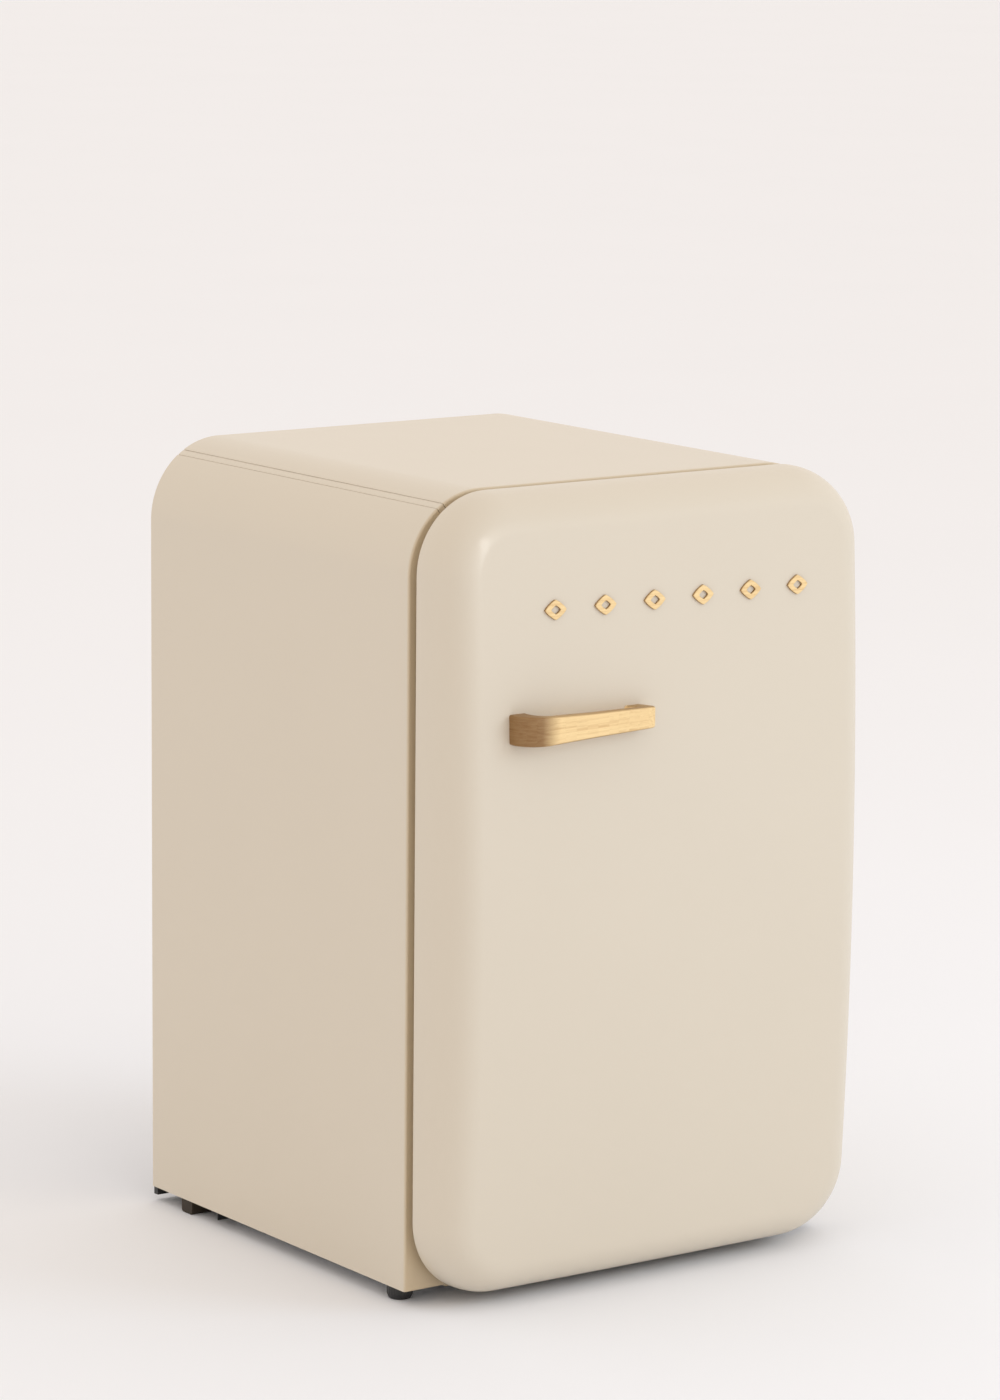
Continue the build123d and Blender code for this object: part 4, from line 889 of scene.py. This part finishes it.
def roof_stations(sizes, seam, radius):
    """Stations from the left seam over the roof to the right one."""
    fold_place, fold_in, sink = fold(sizes, seam, radius, 1)
    angles = np.linspace(math.pi / 2, seam - radius / sizes.corner, 16, endpoint=False)[::-1]
    arc_place, arc_in = arc_station(sizes, angles)
    left = np.concatenate([fold_place[::-1], arc_place])
    left_in = np.concatenate([fold_in[::-1], arc_in])
    left_sink = np.concatenate([sink[::-1], np.zeros(len(arc_place))])
    flat = np.linspace(left[-1], left[-1] * (-1, 1), 32)[1:-1]
    return (
        np.concatenate([left, flat, left[::-1] * (-1, 1)]),
        np.concatenate([left_in, np.tile([0.0, -1.0], (len(flat), 1)), left_in[::-1] * (-1, 1)]),
        np.concatenate([left_sink, np.zeros(len(flat)), left_sink[::-1]]),
    )


def lap_stations(sizes):
    """Stations of the strip let into the seam, with a fold down each of its long edges."""
    high_place, high_in, high_sink = fold(sizes, LAP_SIDE, LAP_FOLD, 1)
    low_place, low_in, low_sink = fold(sizes, LAP_TOP, LAP_FOLD, -1)
    turn = LAP_FOLD / sizes.corner
    place, inwards = arc_station(sizes, np.linspace(LAP_SIDE - turn, LAP_TOP + turn, 8)[1:-1])
    return (
        np.concatenate([high_place[::-1], place, low_place]),
        np.concatenate([high_in[::-1], inwards, low_in]),
        np.concatenate([high_sink[::-1], np.zeros(len(place)), low_sink]),
    )


def sheet_profile(sizes, lift):
    """Inset and depth along the sheet from the rear edge, round the front fold and along the flange."""
    turn = np.linspace(0, math.pi / 2, 8)
    inset = sizes.bend - (sizes.bend - lift) * np.cos(turn)
    depth = FRONT + sizes.bend - (sizes.bend - lift) * np.sin(turn)
    run = np.linspace(REAR, FRONT + sizes.bend, 24, endpoint=False)
    inset = np.concatenate([np.full(len(run), lift), inset, np.linspace(sizes.bend, sizes.flange, 6)[1:]])
    depth = np.concatenate([run, depth, np.full(5, FRONT + lift)])
    return inset, depth


def add_panel(shell, sizes, stations, lift, thick):
    """A sheet carried over its stations: every point is the station moved inwards by the profile's
    inset and the seam's sink, at the profile's depth; the inner face is its thickness further in."""
    place, inwards, sink = stations
    outer_inset, outer_depth = sheet_profile(sizes, lift)
    inner_inset, inner_depth = sheet_profile(sizes, lift + thick)
    inset = np.concatenate([outer_inset, inner_inset[::-1]])[None, :] + sink[:, None]
    front_share = np.concatenate([outer_depth, inner_depth[::-1]])
    on_flange = np.clip(1 - (front_share - FRONT) / sizes.bend, 0, 1)[None, :]
    depth = front_share[None, :] + on_flange * sink[:, None]
    inset = inset - on_flange * sink[:, None]
    points = np.empty((len(place), inset.shape[1], 3))
    points[..., 0] = place[:, None, 0] + inwards[:, None, 0] * inset
    points[..., 1] = depth
    points[..., 2] = place[:, None, 1] + inwards[:, None, 1] * inset
    shell.sheet(points)


def add_side_return(shell, sizes):
    """The fold under the left side panel: an L of sheet with a rounded heel, carried from front to
    back."""
    turn = np.linspace(math.pi, 1.5 * math.pi, 8)
    bend = 2 * sizes.sheet
    centre = np.array([-HALF + bend + CLEARANCE, PANEL_BOTTOM + bend])
    outer = centre + bend * np.stack([np.cos(turn), np.sin(turn)], -1)
    inner = centre + (bend - sizes.sheet) * np.stack([np.cos(turn), np.sin(turn)], -1)
    tip = centre[0] + sizes.side_return - bend
    outer = np.concatenate([outer, [(tip, PANEL_BOTTOM)]])
    inner = np.concatenate([inner, [(tip, PANEL_BOTTOM + sizes.sheet)]])
    section = np.concatenate([outer, inner[::-1]])
    ends = np.array([FRONT + sizes.sheet, REAR])
    shell.sheet(np.stack([
        np.column_stack([section[:, 0], np.full(len(section), y), section[:, 1]]) for y in ends
    ]))


class FRIDGE_OT_handle(bpy.types.Operator):
    """Make the bent oak handle"""
    bl_idname = "fridge.handle"
    bl_label = "Handle"

    def execute(self, context):
        sizes = context.scene.fridge_door
        low, high = corners("handle")
        left, right, front = low[0], high[0], low[1]
        level = (low[2] + high[2]) / 2
        tall_left, tall_right = high[2] - low[2], 0.0215
        rooted = 0.002
        inside = door_front_y(np.array(left), np.array(level), sizes) + rooted
        outer = rounded_path(
            [(left, inside), (left + 0.0005, front), (right - 0.004, front + 0.0125),
             (right - 0.015, inside)],
            (0.029, 0.005),
        )
        inner = rounded_path(
            [(left + 0.021, inside), (left + 0.0195, front + 0.0095), (right - 0.0235, front + 0.0205),
             (right - 0.034, inside)],
            (0.016, 0.003),
        )
        middle = (outer + inner) / 2
        reach = np.concatenate([[0], np.cumsum(np.linalg.norm(np.diff(middle, axis=0), axis=1))])
        share = np.clip((middle[:, 0] - left) / (right - left), 0, 1)
        half_tall = (tall_left + (tall_right - tall_left) * share) / 2
        across = outer - inner
        half_thick = np.linalg.norm(across, axis=1) / 2
        across = across / (2 * half_thick[:, None])
        edge = 0.0024
        turn = np.linspace(0, 2 * math.pi, 40, endpoint=False) + math.pi / 40
        sx, sz = np.sign(np.cos(turn)), np.sign(np.sin(turn))
        thick = sx * (half_thick[:, None] - edge) + edge * np.cos(turn)
        high_way = sz * (half_tall[:, None] - edge) + edge * np.sin(turn)
        grid = np.empty((len(middle), len(turn), 3))
        grid[..., 0] = middle[:, None, 0] + across[:, None, 0] * thick
        grid[..., 1] = middle[:, None, 1] + across[:, None, 1] * thick
        grid[..., 2] = level + high_way
        surface = door_front_y(grid[..., 0], grid[..., 2], sizes)
        grid[..., 1] = np.minimum(grid[..., 1], surface)
        shell = Shell()
        shell.tube(grid)
        piece = make_piece("handle", shell, "oak", 50.0)
        points = vertex_array(piece.data)
        nearest = np.argmin(
            np.linalg.norm(points[:, None, :2] - middle[None, :, :], axis=2), axis=1
        )
        offset = np.einsum("ij,ij->i", points[:, :2] - middle[nearest], across[nearest])
        # Painted shade: the handle is darkened fully over the first 32 mm of its left end, fading out by 52
        # mm, and on faces that turn up or down, where the bend and the top and bottom faces fall into shade.
        painted_shade_end, painted_shade_fade = 0.052, 0.020
        left_painted_shade = np.clip((painted_shade_end - reach[nearest]) / painted_shade_fade, 0, 1)
        upwards = np.abs([vertex.normal[2] for vertex in piece.data.vertices])
        top_shade_strength, flattest, slope_fade = 0.75, 0.15, 0.5
        top_painted_shade = top_shade_strength * np.clip((upwards - flattest) / slope_fade, 0, 1)
        store_grain(
            piece, np.column_stack([reach[nearest], offset, points[:, 2]]), np.maximum(left_painted_shade, top_painted_shade)
        )
        return {"FINISHED"}


def rounded_path(points, radii, samples=120):
    """An open path through corners, each rounded by a tangent arc of its radius, with its samples
    spaced evenly along it."""
    points = [np.array(point, float) for point in points]
    pieces = [points[0][None, :]]
    for before, corner, after, radius in zip(points, points[1:], points[2:], radii):
        to_before, to_after = unit(before - corner), unit(after - corner)
        half_angle = math.acos(np.clip(to_before @ to_after, -1, 1)) / 2
        middle = unit(to_before + to_after)
        centre = corner + middle * radius / math.sin(half_angle)
        start = corner + to_before * radius / math.tan(half_angle) - centre
        stop = corner + to_after * radius / math.tan(half_angle) - centre
        whole = math.pi - 2 * half_angle
        share = np.linspace(0, 1, 24)[:, None]
        bow = (np.sin((1 - share) * whole) * start + np.sin(share * whole) * stop) / math.sin(whole)
        pieces.append(centre + bow)
    pieces.append(points[-1][None, :])
    line = np.concatenate(pieces)
    run = np.concatenate([[0], np.cumsum(np.linalg.norm(np.diff(line, axis=0), axis=1))])
    even = np.linspace(0, run[-1], samples)
    return np.column_stack([np.interp(even, run, line[:, 0]), np.interp(even, run, line[:, 1])])


class FRIDGE_OT_badges(bpy.types.Operator):
    """Make the six oak lozenges of the front trim"""
    bl_idname = "fridge.badges"
    bl_label = "Badges"

    def execute(self, context):
        sizes = context.scene.fridge_door
        low, high = corners("badge_lozenges")
        count = 6
        wide, tall = 0.027, 0.021
        pitch = (high[0] - low[0] - wide) / (count - 1)
        level = (low[2] + high[2]) / 2
        proud, edge = 0.0027, 0.0011
        turn = np.linspace(0, 2 * math.pi, 64, endpoint=False)
        corner_power = 1.25
        ring = np.stack([
            np.sign(np.cos(turn)) * np.abs(np.cos(turn)) ** (2 / corner_power),
            np.sign(np.sin(turn)) * np.abs(np.sin(turn)) ** (2 / corner_power),
        ], -1)
        bend = np.linspace(0, math.pi / 2, 6)
        hole, round_outside, round_inside = 0.42, 0.085, 0.07
        section = [(1.0, proud)]
        section += [(1 - round_outside * (1 - math.cos(a)), edge * (1 - math.sin(a))) for a in bend]
        section += [(hole + round_inside * (1 - math.cos(a)), edge * (1 - math.sin(a))) for a in bend[::-1]]
        section += [(hole, proud)]
        shell = Shell()
        for number in range(count):
            centre = low[0] + wide / 2 + number * pitch
            rows = []
            for share, sink in section:
                x = centre + ring[:, 0] * wide / 2 * share
                z = level + ring[:, 1] * tall / 2 * share
                rows.append(np.stack([x, door_front_y(x, z, sizes) - proud + sink, z], -1))
            grid = np.stack(rows + [rows[0]])
            shell.add(grid, grid_quads(len(grid), grid.shape[1], wrap=True))
        piece = make_piece("badge_lozenges", shell, "oak", 40.0)
        points = vertex_array(piece.data)
        sunk = points[:, 1] - door_front_y(points[:, 0], points[:, 2], sizes) + proud
        # Painted shade: each lozenge darkens over its rounded edges and sides, towards the door's face, where
        # they turn away from the light.
        away_from_handle, edge_painted_shade = (0.31, 0, 0), 0.9
        store_grain(piece, points + away_from_handle, edge_painted_shade * np.clip(sunk / edge, 0, 1))
        return {"FINISHED"}


class FRIDGE_OT_gasket(bpy.types.Operator):
    """Make the door seal with its bellows"""
    bl_idname = "fridge.gasket"
    bl_label = "Door gasket"

    def execute(self, context):
        sizes = context.scene.fridge_door
        low, high = corners("door_gasket")
        near, far = 0.018, 0.038
        share = np.linspace(0, 1, 25)
        waist_depth, bellows_share = 0.0026, 0.62
        lip_round, lip_start = 0.0012, 0.9
        waist = waist_depth * np.sin(2 * math.pi * np.clip(share / bellows_share, 0, 1)) ** 2
        depth = low[1] + (high[1] - low[1]) * share
        lip = lip_round * (1 - np.sqrt(1 - np.clip((share - lip_start) / 0.1, 0, 1) ** 2))
        inset = np.concatenate([near + waist + lip, (far - waist - lip)[::-1]])
        y = np.concatenate([depth, depth[::-1]])
        rows = []
        for d, level in zip(inset, y):
            loop = door_loop(d, sizes)
            rows.append(np.stack([loop[:, 0], np.full(len(loop), level), loop[:, 1]], -1))
        grid = np.stack(rows + [rows[0]])
        shell = Shell()
        shell.add(grid, grid_quads(len(grid), grid.shape[1], wrap=True))
        make_piece("door_gasket", shell, "gasket_vinyl", 60.0)
        return {"FINISHED"}


class FRIDGE_OT_door_parts(bpy.types.Operator):
    """Finish the door's liner, sockets and screws"""
    bl_idname = "fridge.door_parts"
    bl_label = "Door lining and fixings"

    def execute(self, context):
        machined("door_liner", "white_plastic", 0.0035, 4)
        machined("hinge_sockets", "black_plastic", 0.0005)
        machined("handle_screws", "hinge_steel", 0.0003)
        return {"FINISHED"}


class FRIDGE_OT_bins(bpy.types.Operator):
    """Finish the three clear door bins"""
    bl_idname = "fridge.bins"
    bl_label = "Door bins"

    def execute(self, context):
        for node in ("lower_bin", "middle_bin", "upper_bin"):
            machined(node, "clear_plastic", 0.0007, 3)
        return {"FINISHED"}


class FRIDGE_OT_feet(bpy.types.Operator):
    """Make the ribbed front feet and finish the rear ones"""
    bl_idname = "fridge.feet"
    bl_label = "Feet"

    def execute(self, context):
        for node in ("left_front_foot", "right_front_foot"):
            low, high = corners(node)
            middle = (low + high) / 2
            outline = np.array([
                (0.0, 0.0), (0.0105, 0.0), (0.0120, 0.0006), (0.0126, 0.0020), (0.0138, 0.0048),
                (0.0140, 0.0060), (0.0140, 0.0140), (0.0134, 0.0148), (0.0124, 0.0150), (0.0041, 0.0150),
                (0.0040, 0.0152), (0.0040, 0.0390), (0.0032, 0.0400), (0.0, 0.0400),
            ])
            turn = np.linspace(0, 2 * math.pi, 120, endpoint=False)
            rib_start, rib_fade, rim = 0.004, 0.001, 0.0133
            ribs, rib_depth = 24, 0.0005
            ribbed = np.clip((outline[:, 1] - rib_start) / rib_fade, 0, 1) * (outline[:, 0] > rim)
            depth = rib_depth * (0.5 - 0.5 * np.cos(ribs * turn))
            radius = outline[:, 0][:, None] - ribbed[:, None] * depth[None, :]
            grid = np.empty((len(outline), len(turn), 3))
            grid[..., 0] = middle[0] + radius * np.cos(turn)
            grid[..., 1] = middle[1] + radius * np.sin(turn)
            grid[..., 2] = low[2] + outline[:, 1][:, None]
            shell = Shell()
            shell.add(grid, grid_quads(len(outline), len(turn), wrap=True))
            make_piece(node, shell, "black_plastic", 40.0)
        machined("rear_feet", "dark_rubber", 0.0008, 3)
        machined("foot_inserts", "hinge_steel", 0.0004)
        return {"FINISHED"}


KEPT = {
    "rear_panel": ("zinc_steel", 0.0003),
    "bottom_panel": ("zinc_steel", 0.0003),
    # The compressor tray's black enamel is partly its own dark paint and partly painted shade for the dark
    # hem under the back of the cabinet.
    "compressor_tray": ("black_metal", 0.0003),
    "bay_shield": ("zinc_steel", 0.0003),
    "upper_hinge_bracket": ("hinge_steel", 0.0005),
    "lower_hinge_bracket": ("hinge_steel", 0.0005),
    "hinge_pins": ("hinge_steel", 0.0003),
    "hinge_screws": ("hinge_steel", 0.0003),
    "compressor": ("black_metal", 0.0008),
    "compressor_grommets": ("dark_rubber", 0.0008),
    "compressor_bolts": ("hinge_steel", 0.0005),
    "terminal_cover": ("black_plastic", 0.0008),
    "evaporation_pan": ("black_plastic", 0.0006),
    "drain_tube": ("black_plastic", 0.0003),
    "condenser_pipe": ("black_metal", 0.0),
    "condenser_wires": ("black_metal", 0.0),
    "condenser_brackets": ("black_metal", 0.0004),
    "filter_drier": ("copper", 0.0006),
    "return_pipe": ("copper", 0.0),
    "capillary_pipe": ("copper", 0.0),
    "suction_pipe": ("copper", 0.0),
    "discharge_pipe": ("copper", 0.0),
    "cord_gland": ("black_plastic", 0.0006),
    "inner_liner": ("white_plastic", 0.0030),
    "switch_body": ("white_plastic", 0.0004),
    "switch_plunger": ("white_plastic", 0.0003),
    "upper_shelf_glass": ("shelf_glass", 0.0005),
    "lower_shelf_glass": ("shelf_glass", 0.0005),
    "upper_shelf_trim": ("shelf_trim", 0.0006),
    "lower_shelf_trim": ("shelf_trim", 0.0006),
    "drip_tray": ("clear_plastic", 0.0007),
    "ice_box": ("ice_aluminium", 0.0006),
    "ice_box_frame": ("white_plastic", 0.0008),
    "ice_box_hangers": ("white_plastic", 0.0004),
    "ice_box_flap": ("clear_plastic", 0.0005),
    "thermostat_housing": ("white_plastic", 0.0008),
    "thermostat_knob": ("white_plastic", 0.0008),
    "lamp_lens": ("frosted_lens", 0.0006),
}


def at_front_fold(point, sizes):
    """1 on the foam's edge inside the panels' front fold, and 0 elsewhere."""
    beside, above = abs(point[0]) - (HALF - sizes.corner), point[2] - (TOP - sizes.corner)
    inset = sizes.corner - (math.hypot(beside, above) if min(beside, above) > 0 else max(beside, above))
    near = 0.0006
    return float(abs(point[1] - FRONT - sizes.sheet) < near and abs(inset - sizes.sheet) < near)


class FRIDGE_OT_kept_parts(bpy.types.Operator):
    """Finish the parts that keep their designed shape"""
    bl_idname = "fridge.kept_parts"
    bl_label = "Inside and back parts"

    def execute(self, context):
        for node, (material, edge) in KEPT.items():
            machined(node, material, edge)
        sizes = context.scene.fridge_cabinet
        machined(
            "cabinet_foam", "foam", sizes.bend - sizes.sheet, 5,
            weigh=lambda point: at_front_fold(point, sizes),
        )
        return {"FINISHED"}


# ======== stage ========

def unit(vector):
    return vector / np.linalg.norm(vector)


def camera_axes(view):
    """The camera's right, up and back directions from its azimuth, elevation and roll."""
    back = np.array([
        math.sin(view.azimuth) * math.cos(view.elevation),
        -math.cos(view.azimuth) * math.cos(view.elevation),
        math.sin(view.elevation),
    ])
    right = unit(np.cross(-back, (0.0, 0.0, 1.0)))
    up = np.cross(right, -back)
    c, s = math.cos(view.roll), math.sin(view.roll)
    return right * c + up * s, up * c - right * s, back


def add_light(name, kind, place, aim, energy, tone, **settings):
    """A lamp at a place, turned to its aim point."""
    lamp = bpy.data.lights.new(name, kind)
    lamp.energy = energy
    lamp.color = tone
    for setting, value in settings.items():
        setattr(lamp, setting, value)
    holder = bpy.data.objects.new(name, lamp)
    bpy.context.collection.objects.link(holder)
    back = unit(np.asarray(place, float) - np.asarray(aim, float))
    right = unit(np.cross((0.0, 0.0, 1.0), back))
    set_axes(holder, right, np.cross(back, right), back, place)
    return holder


def set_axes(holder, right, up, back, place):
    """Turns an object so that its own axes are these, at this place."""
    matrix = np.eye(4)
    matrix[:3, 0], matrix[:3, 1], matrix[:3, 2], matrix[:3, 3] = right, up, back, place
    holder.matrix_world = Matrix(matrix)


def roll_y(x, z, sizes):
    """The depth of the door's face near its upper left corner, its rolled edge included: the roll falls
    back by one less the super-ellipse of the share of the roll's width."""
    turn = sizes.corner
    beside, above = abs(x) - (HALF - turn), z - (TOP - turn)
    inset = turn - math.hypot(beside, above) if min(beside, above) > 0 else turn - max(beside, above)
    share = max(0.0, 1 - inset / sizes.roll_inset)
    crown = door_crown(x, z, sizes)
    fall = (sizes.roll_depth - CROWN_SHARE * crown) * (1 - (1 - share ** ROLL_POWER) ** (1 / ROLL_POWER))
    return DOOR_FACE + crown + fall


def mirrored(x, z, sizes, eye):
    """A place on the door's face, and the direction in which the eye sees it mirrored: twice the
    normal's share of the sight line, less the sight line."""
    step = 0.0005
    normal = unit(np.array([
        (roll_y(x + step, z, sizes) - roll_y(x - step, z, sizes)) / (2 * step),
        -1.0,
        (roll_y(x, z + step, sizes) - roll_y(x, z - step, sizes)) / (2 * step),
    ]))
    spot = np.array([x, roll_y(x, z, sizes), z])
    sight = unit(eye - spot)
    return spot, 2 * (normal @ sight) * normal - sight


def add_glint(sizes, eye):
    """A lamp whose mirrored image is a small upright spot on the door's rolled edge. Its long and short
    axes are the principal axes of how the mirrored direction changes over the spot."""
    away = 3.0

    def change(beside, above):
        """How the mirrored direction differs between two opposite sides of the spot."""
        after = mirrored(GLINT_X + beside, GLINT_Z + above, sizes, eye)[1]
        return after - mirrored(GLINT_X - beside, GLINT_Z - above, sizes, eye)[1]

    spot, towards = mirrored(GLINT_X, GLINT_Z, sizes, eye)
    place = spot + away * towards
    changes = np.column_stack([change(GLINT_HALF_WIDTH, 0.0), change(0.0, GLINT_HALF_HEIGHT)])
    axes, lengths, _ = np.linalg.svd(changes)
    lengths = lengths * away
    glint = add_light(
        "glint", "AREA", place, spot, GLINT_GLOW * lengths[0] * lengths[1],
        (1.0, 1.0, 1.0), shape="ELLIPSE", size=float(lengths[0]), size_y=float(lengths[1]),
    )
    right = unit(axes[:, 0] - (axes[:, 0] @ towards) * towards)
    set_axes(glint, right, np.cross(towards, right), towards, place)
    glint.visible_diffuse = False


class FRIDGE_OT_stage(bpy.types.Operator):
    """Set up the floor, the soft light and the camera"""
    bl_idname = "fridge.stage"
    bl_label = "Stage"

    def execute(self, context):
        view = context.scene.fridge_stage
        right, up, back = camera_axes(view)
        aim = np.array([view.aim_x, FRONT, view.aim_z])
        camera = bpy.data.cameras.new("camera")
        camera.lens = view.lens
        camera.sensor_width = 36.0
        camera.clip_end = 200.0
        holder = bpy.data.objects.new("camera", camera)
        context.collection.objects.link(holder)
        set_axes(holder, right, up, back, aim + back * view.distance)
        context.scene.camera = holder

        reach = 60.0
        mesh = bpy.data.meshes.new("floor")
        mesh.from_pydata(
            [(-reach, -reach, 0), (reach, -reach, 0), (reach, reach, 0), (-reach, reach, 0)],
            [], [(0, 1, 2, 3)],
        )
        mesh.materials.append(floor_paper(view).material)
        floor = bpy.data.objects.new("floor", mesh)
        context.collection.objects.link(floor)

        world = bpy.data.worlds.new("room")
        world.use_nodes = True
        sky = world.node_tree.nodes["Background"]
        sky.inputs["Color"].default_value = (*view.sky, 1.0)
        sky.inputs["Strength"].default_value = 1.03
        context.scene.world = world
        middle = (0.0, 0.0, 0.45)
        key = add_light("key", "AREA", (2.6, -3.2, 2.0), middle, 46.0, (0.66, 0.83, 1.0), size=1.8)
        key.visible_glossy = False
        add_glint(context.scene.fridge_door, np.array(holder.matrix_world.translation))
        context.scene.view_settings.view_transform = "Standard"
        return {"FINISHED"}


# ======== the add-on ========

STEPS = (
    FRIDGE_OT_stage,
    FRIDGE_OT_panels,
    FRIDGE_OT_door_skin,
    FRIDGE_OT_door_foam,
    FRIDGE_OT_handle,
    FRIDGE_OT_badges,
    FRIDGE_OT_gasket,
    FRIDGE_OT_door_parts,
    FRIDGE_OT_bins,
    FRIDGE_OT_feet,
    FRIDGE_OT_kept_parts,
)


class FRIDGE_PT_sidebar(bpy.types.Panel):
    """The steps that make the mini fridge, in order"""
    bl_idname = "FRIDGE_PT_sidebar"
    bl_label = "Mini Fridge"
    bl_space_type = "VIEW_3D"
    bl_region_type = "UI"
    bl_category = "Mini Fridge"

    def draw(self, context):
        for step in STEPS:
            self.layout.operator(step.bl_idname)


GROUPS = {
    "fridge_cabinet": FridgeCabinetSizes,
    "fridge_door": FridgeDoorSizes,
    "fridge_finishes": FridgeFinishes,
    "fridge_stage": FridgeStageSizes,
}
CLASSES = (*GROUPS.values(), *STEPS, FRIDGE_PT_sidebar)


def register():
    for kind in CLASSES:
        bpy.utils.register_class(kind)
    for name, group in GROUPS.items():
        setattr(bpy.types.Scene, name, PointerProperty(type=group))


def unregister():
    for name in GROUPS:
        delattr(bpy.types.Scene, name)
    for kind in reversed(CLASSES):
        bpy.utils.unregister_class(kind)


def main():
    """Makes everything in order."""
    register()
    for step in STEPS:
        family, action = step.bl_idname.split(".")
        getattr(getattr(bpy.ops, family), action)()


if __name__ == "__main__":
    main()
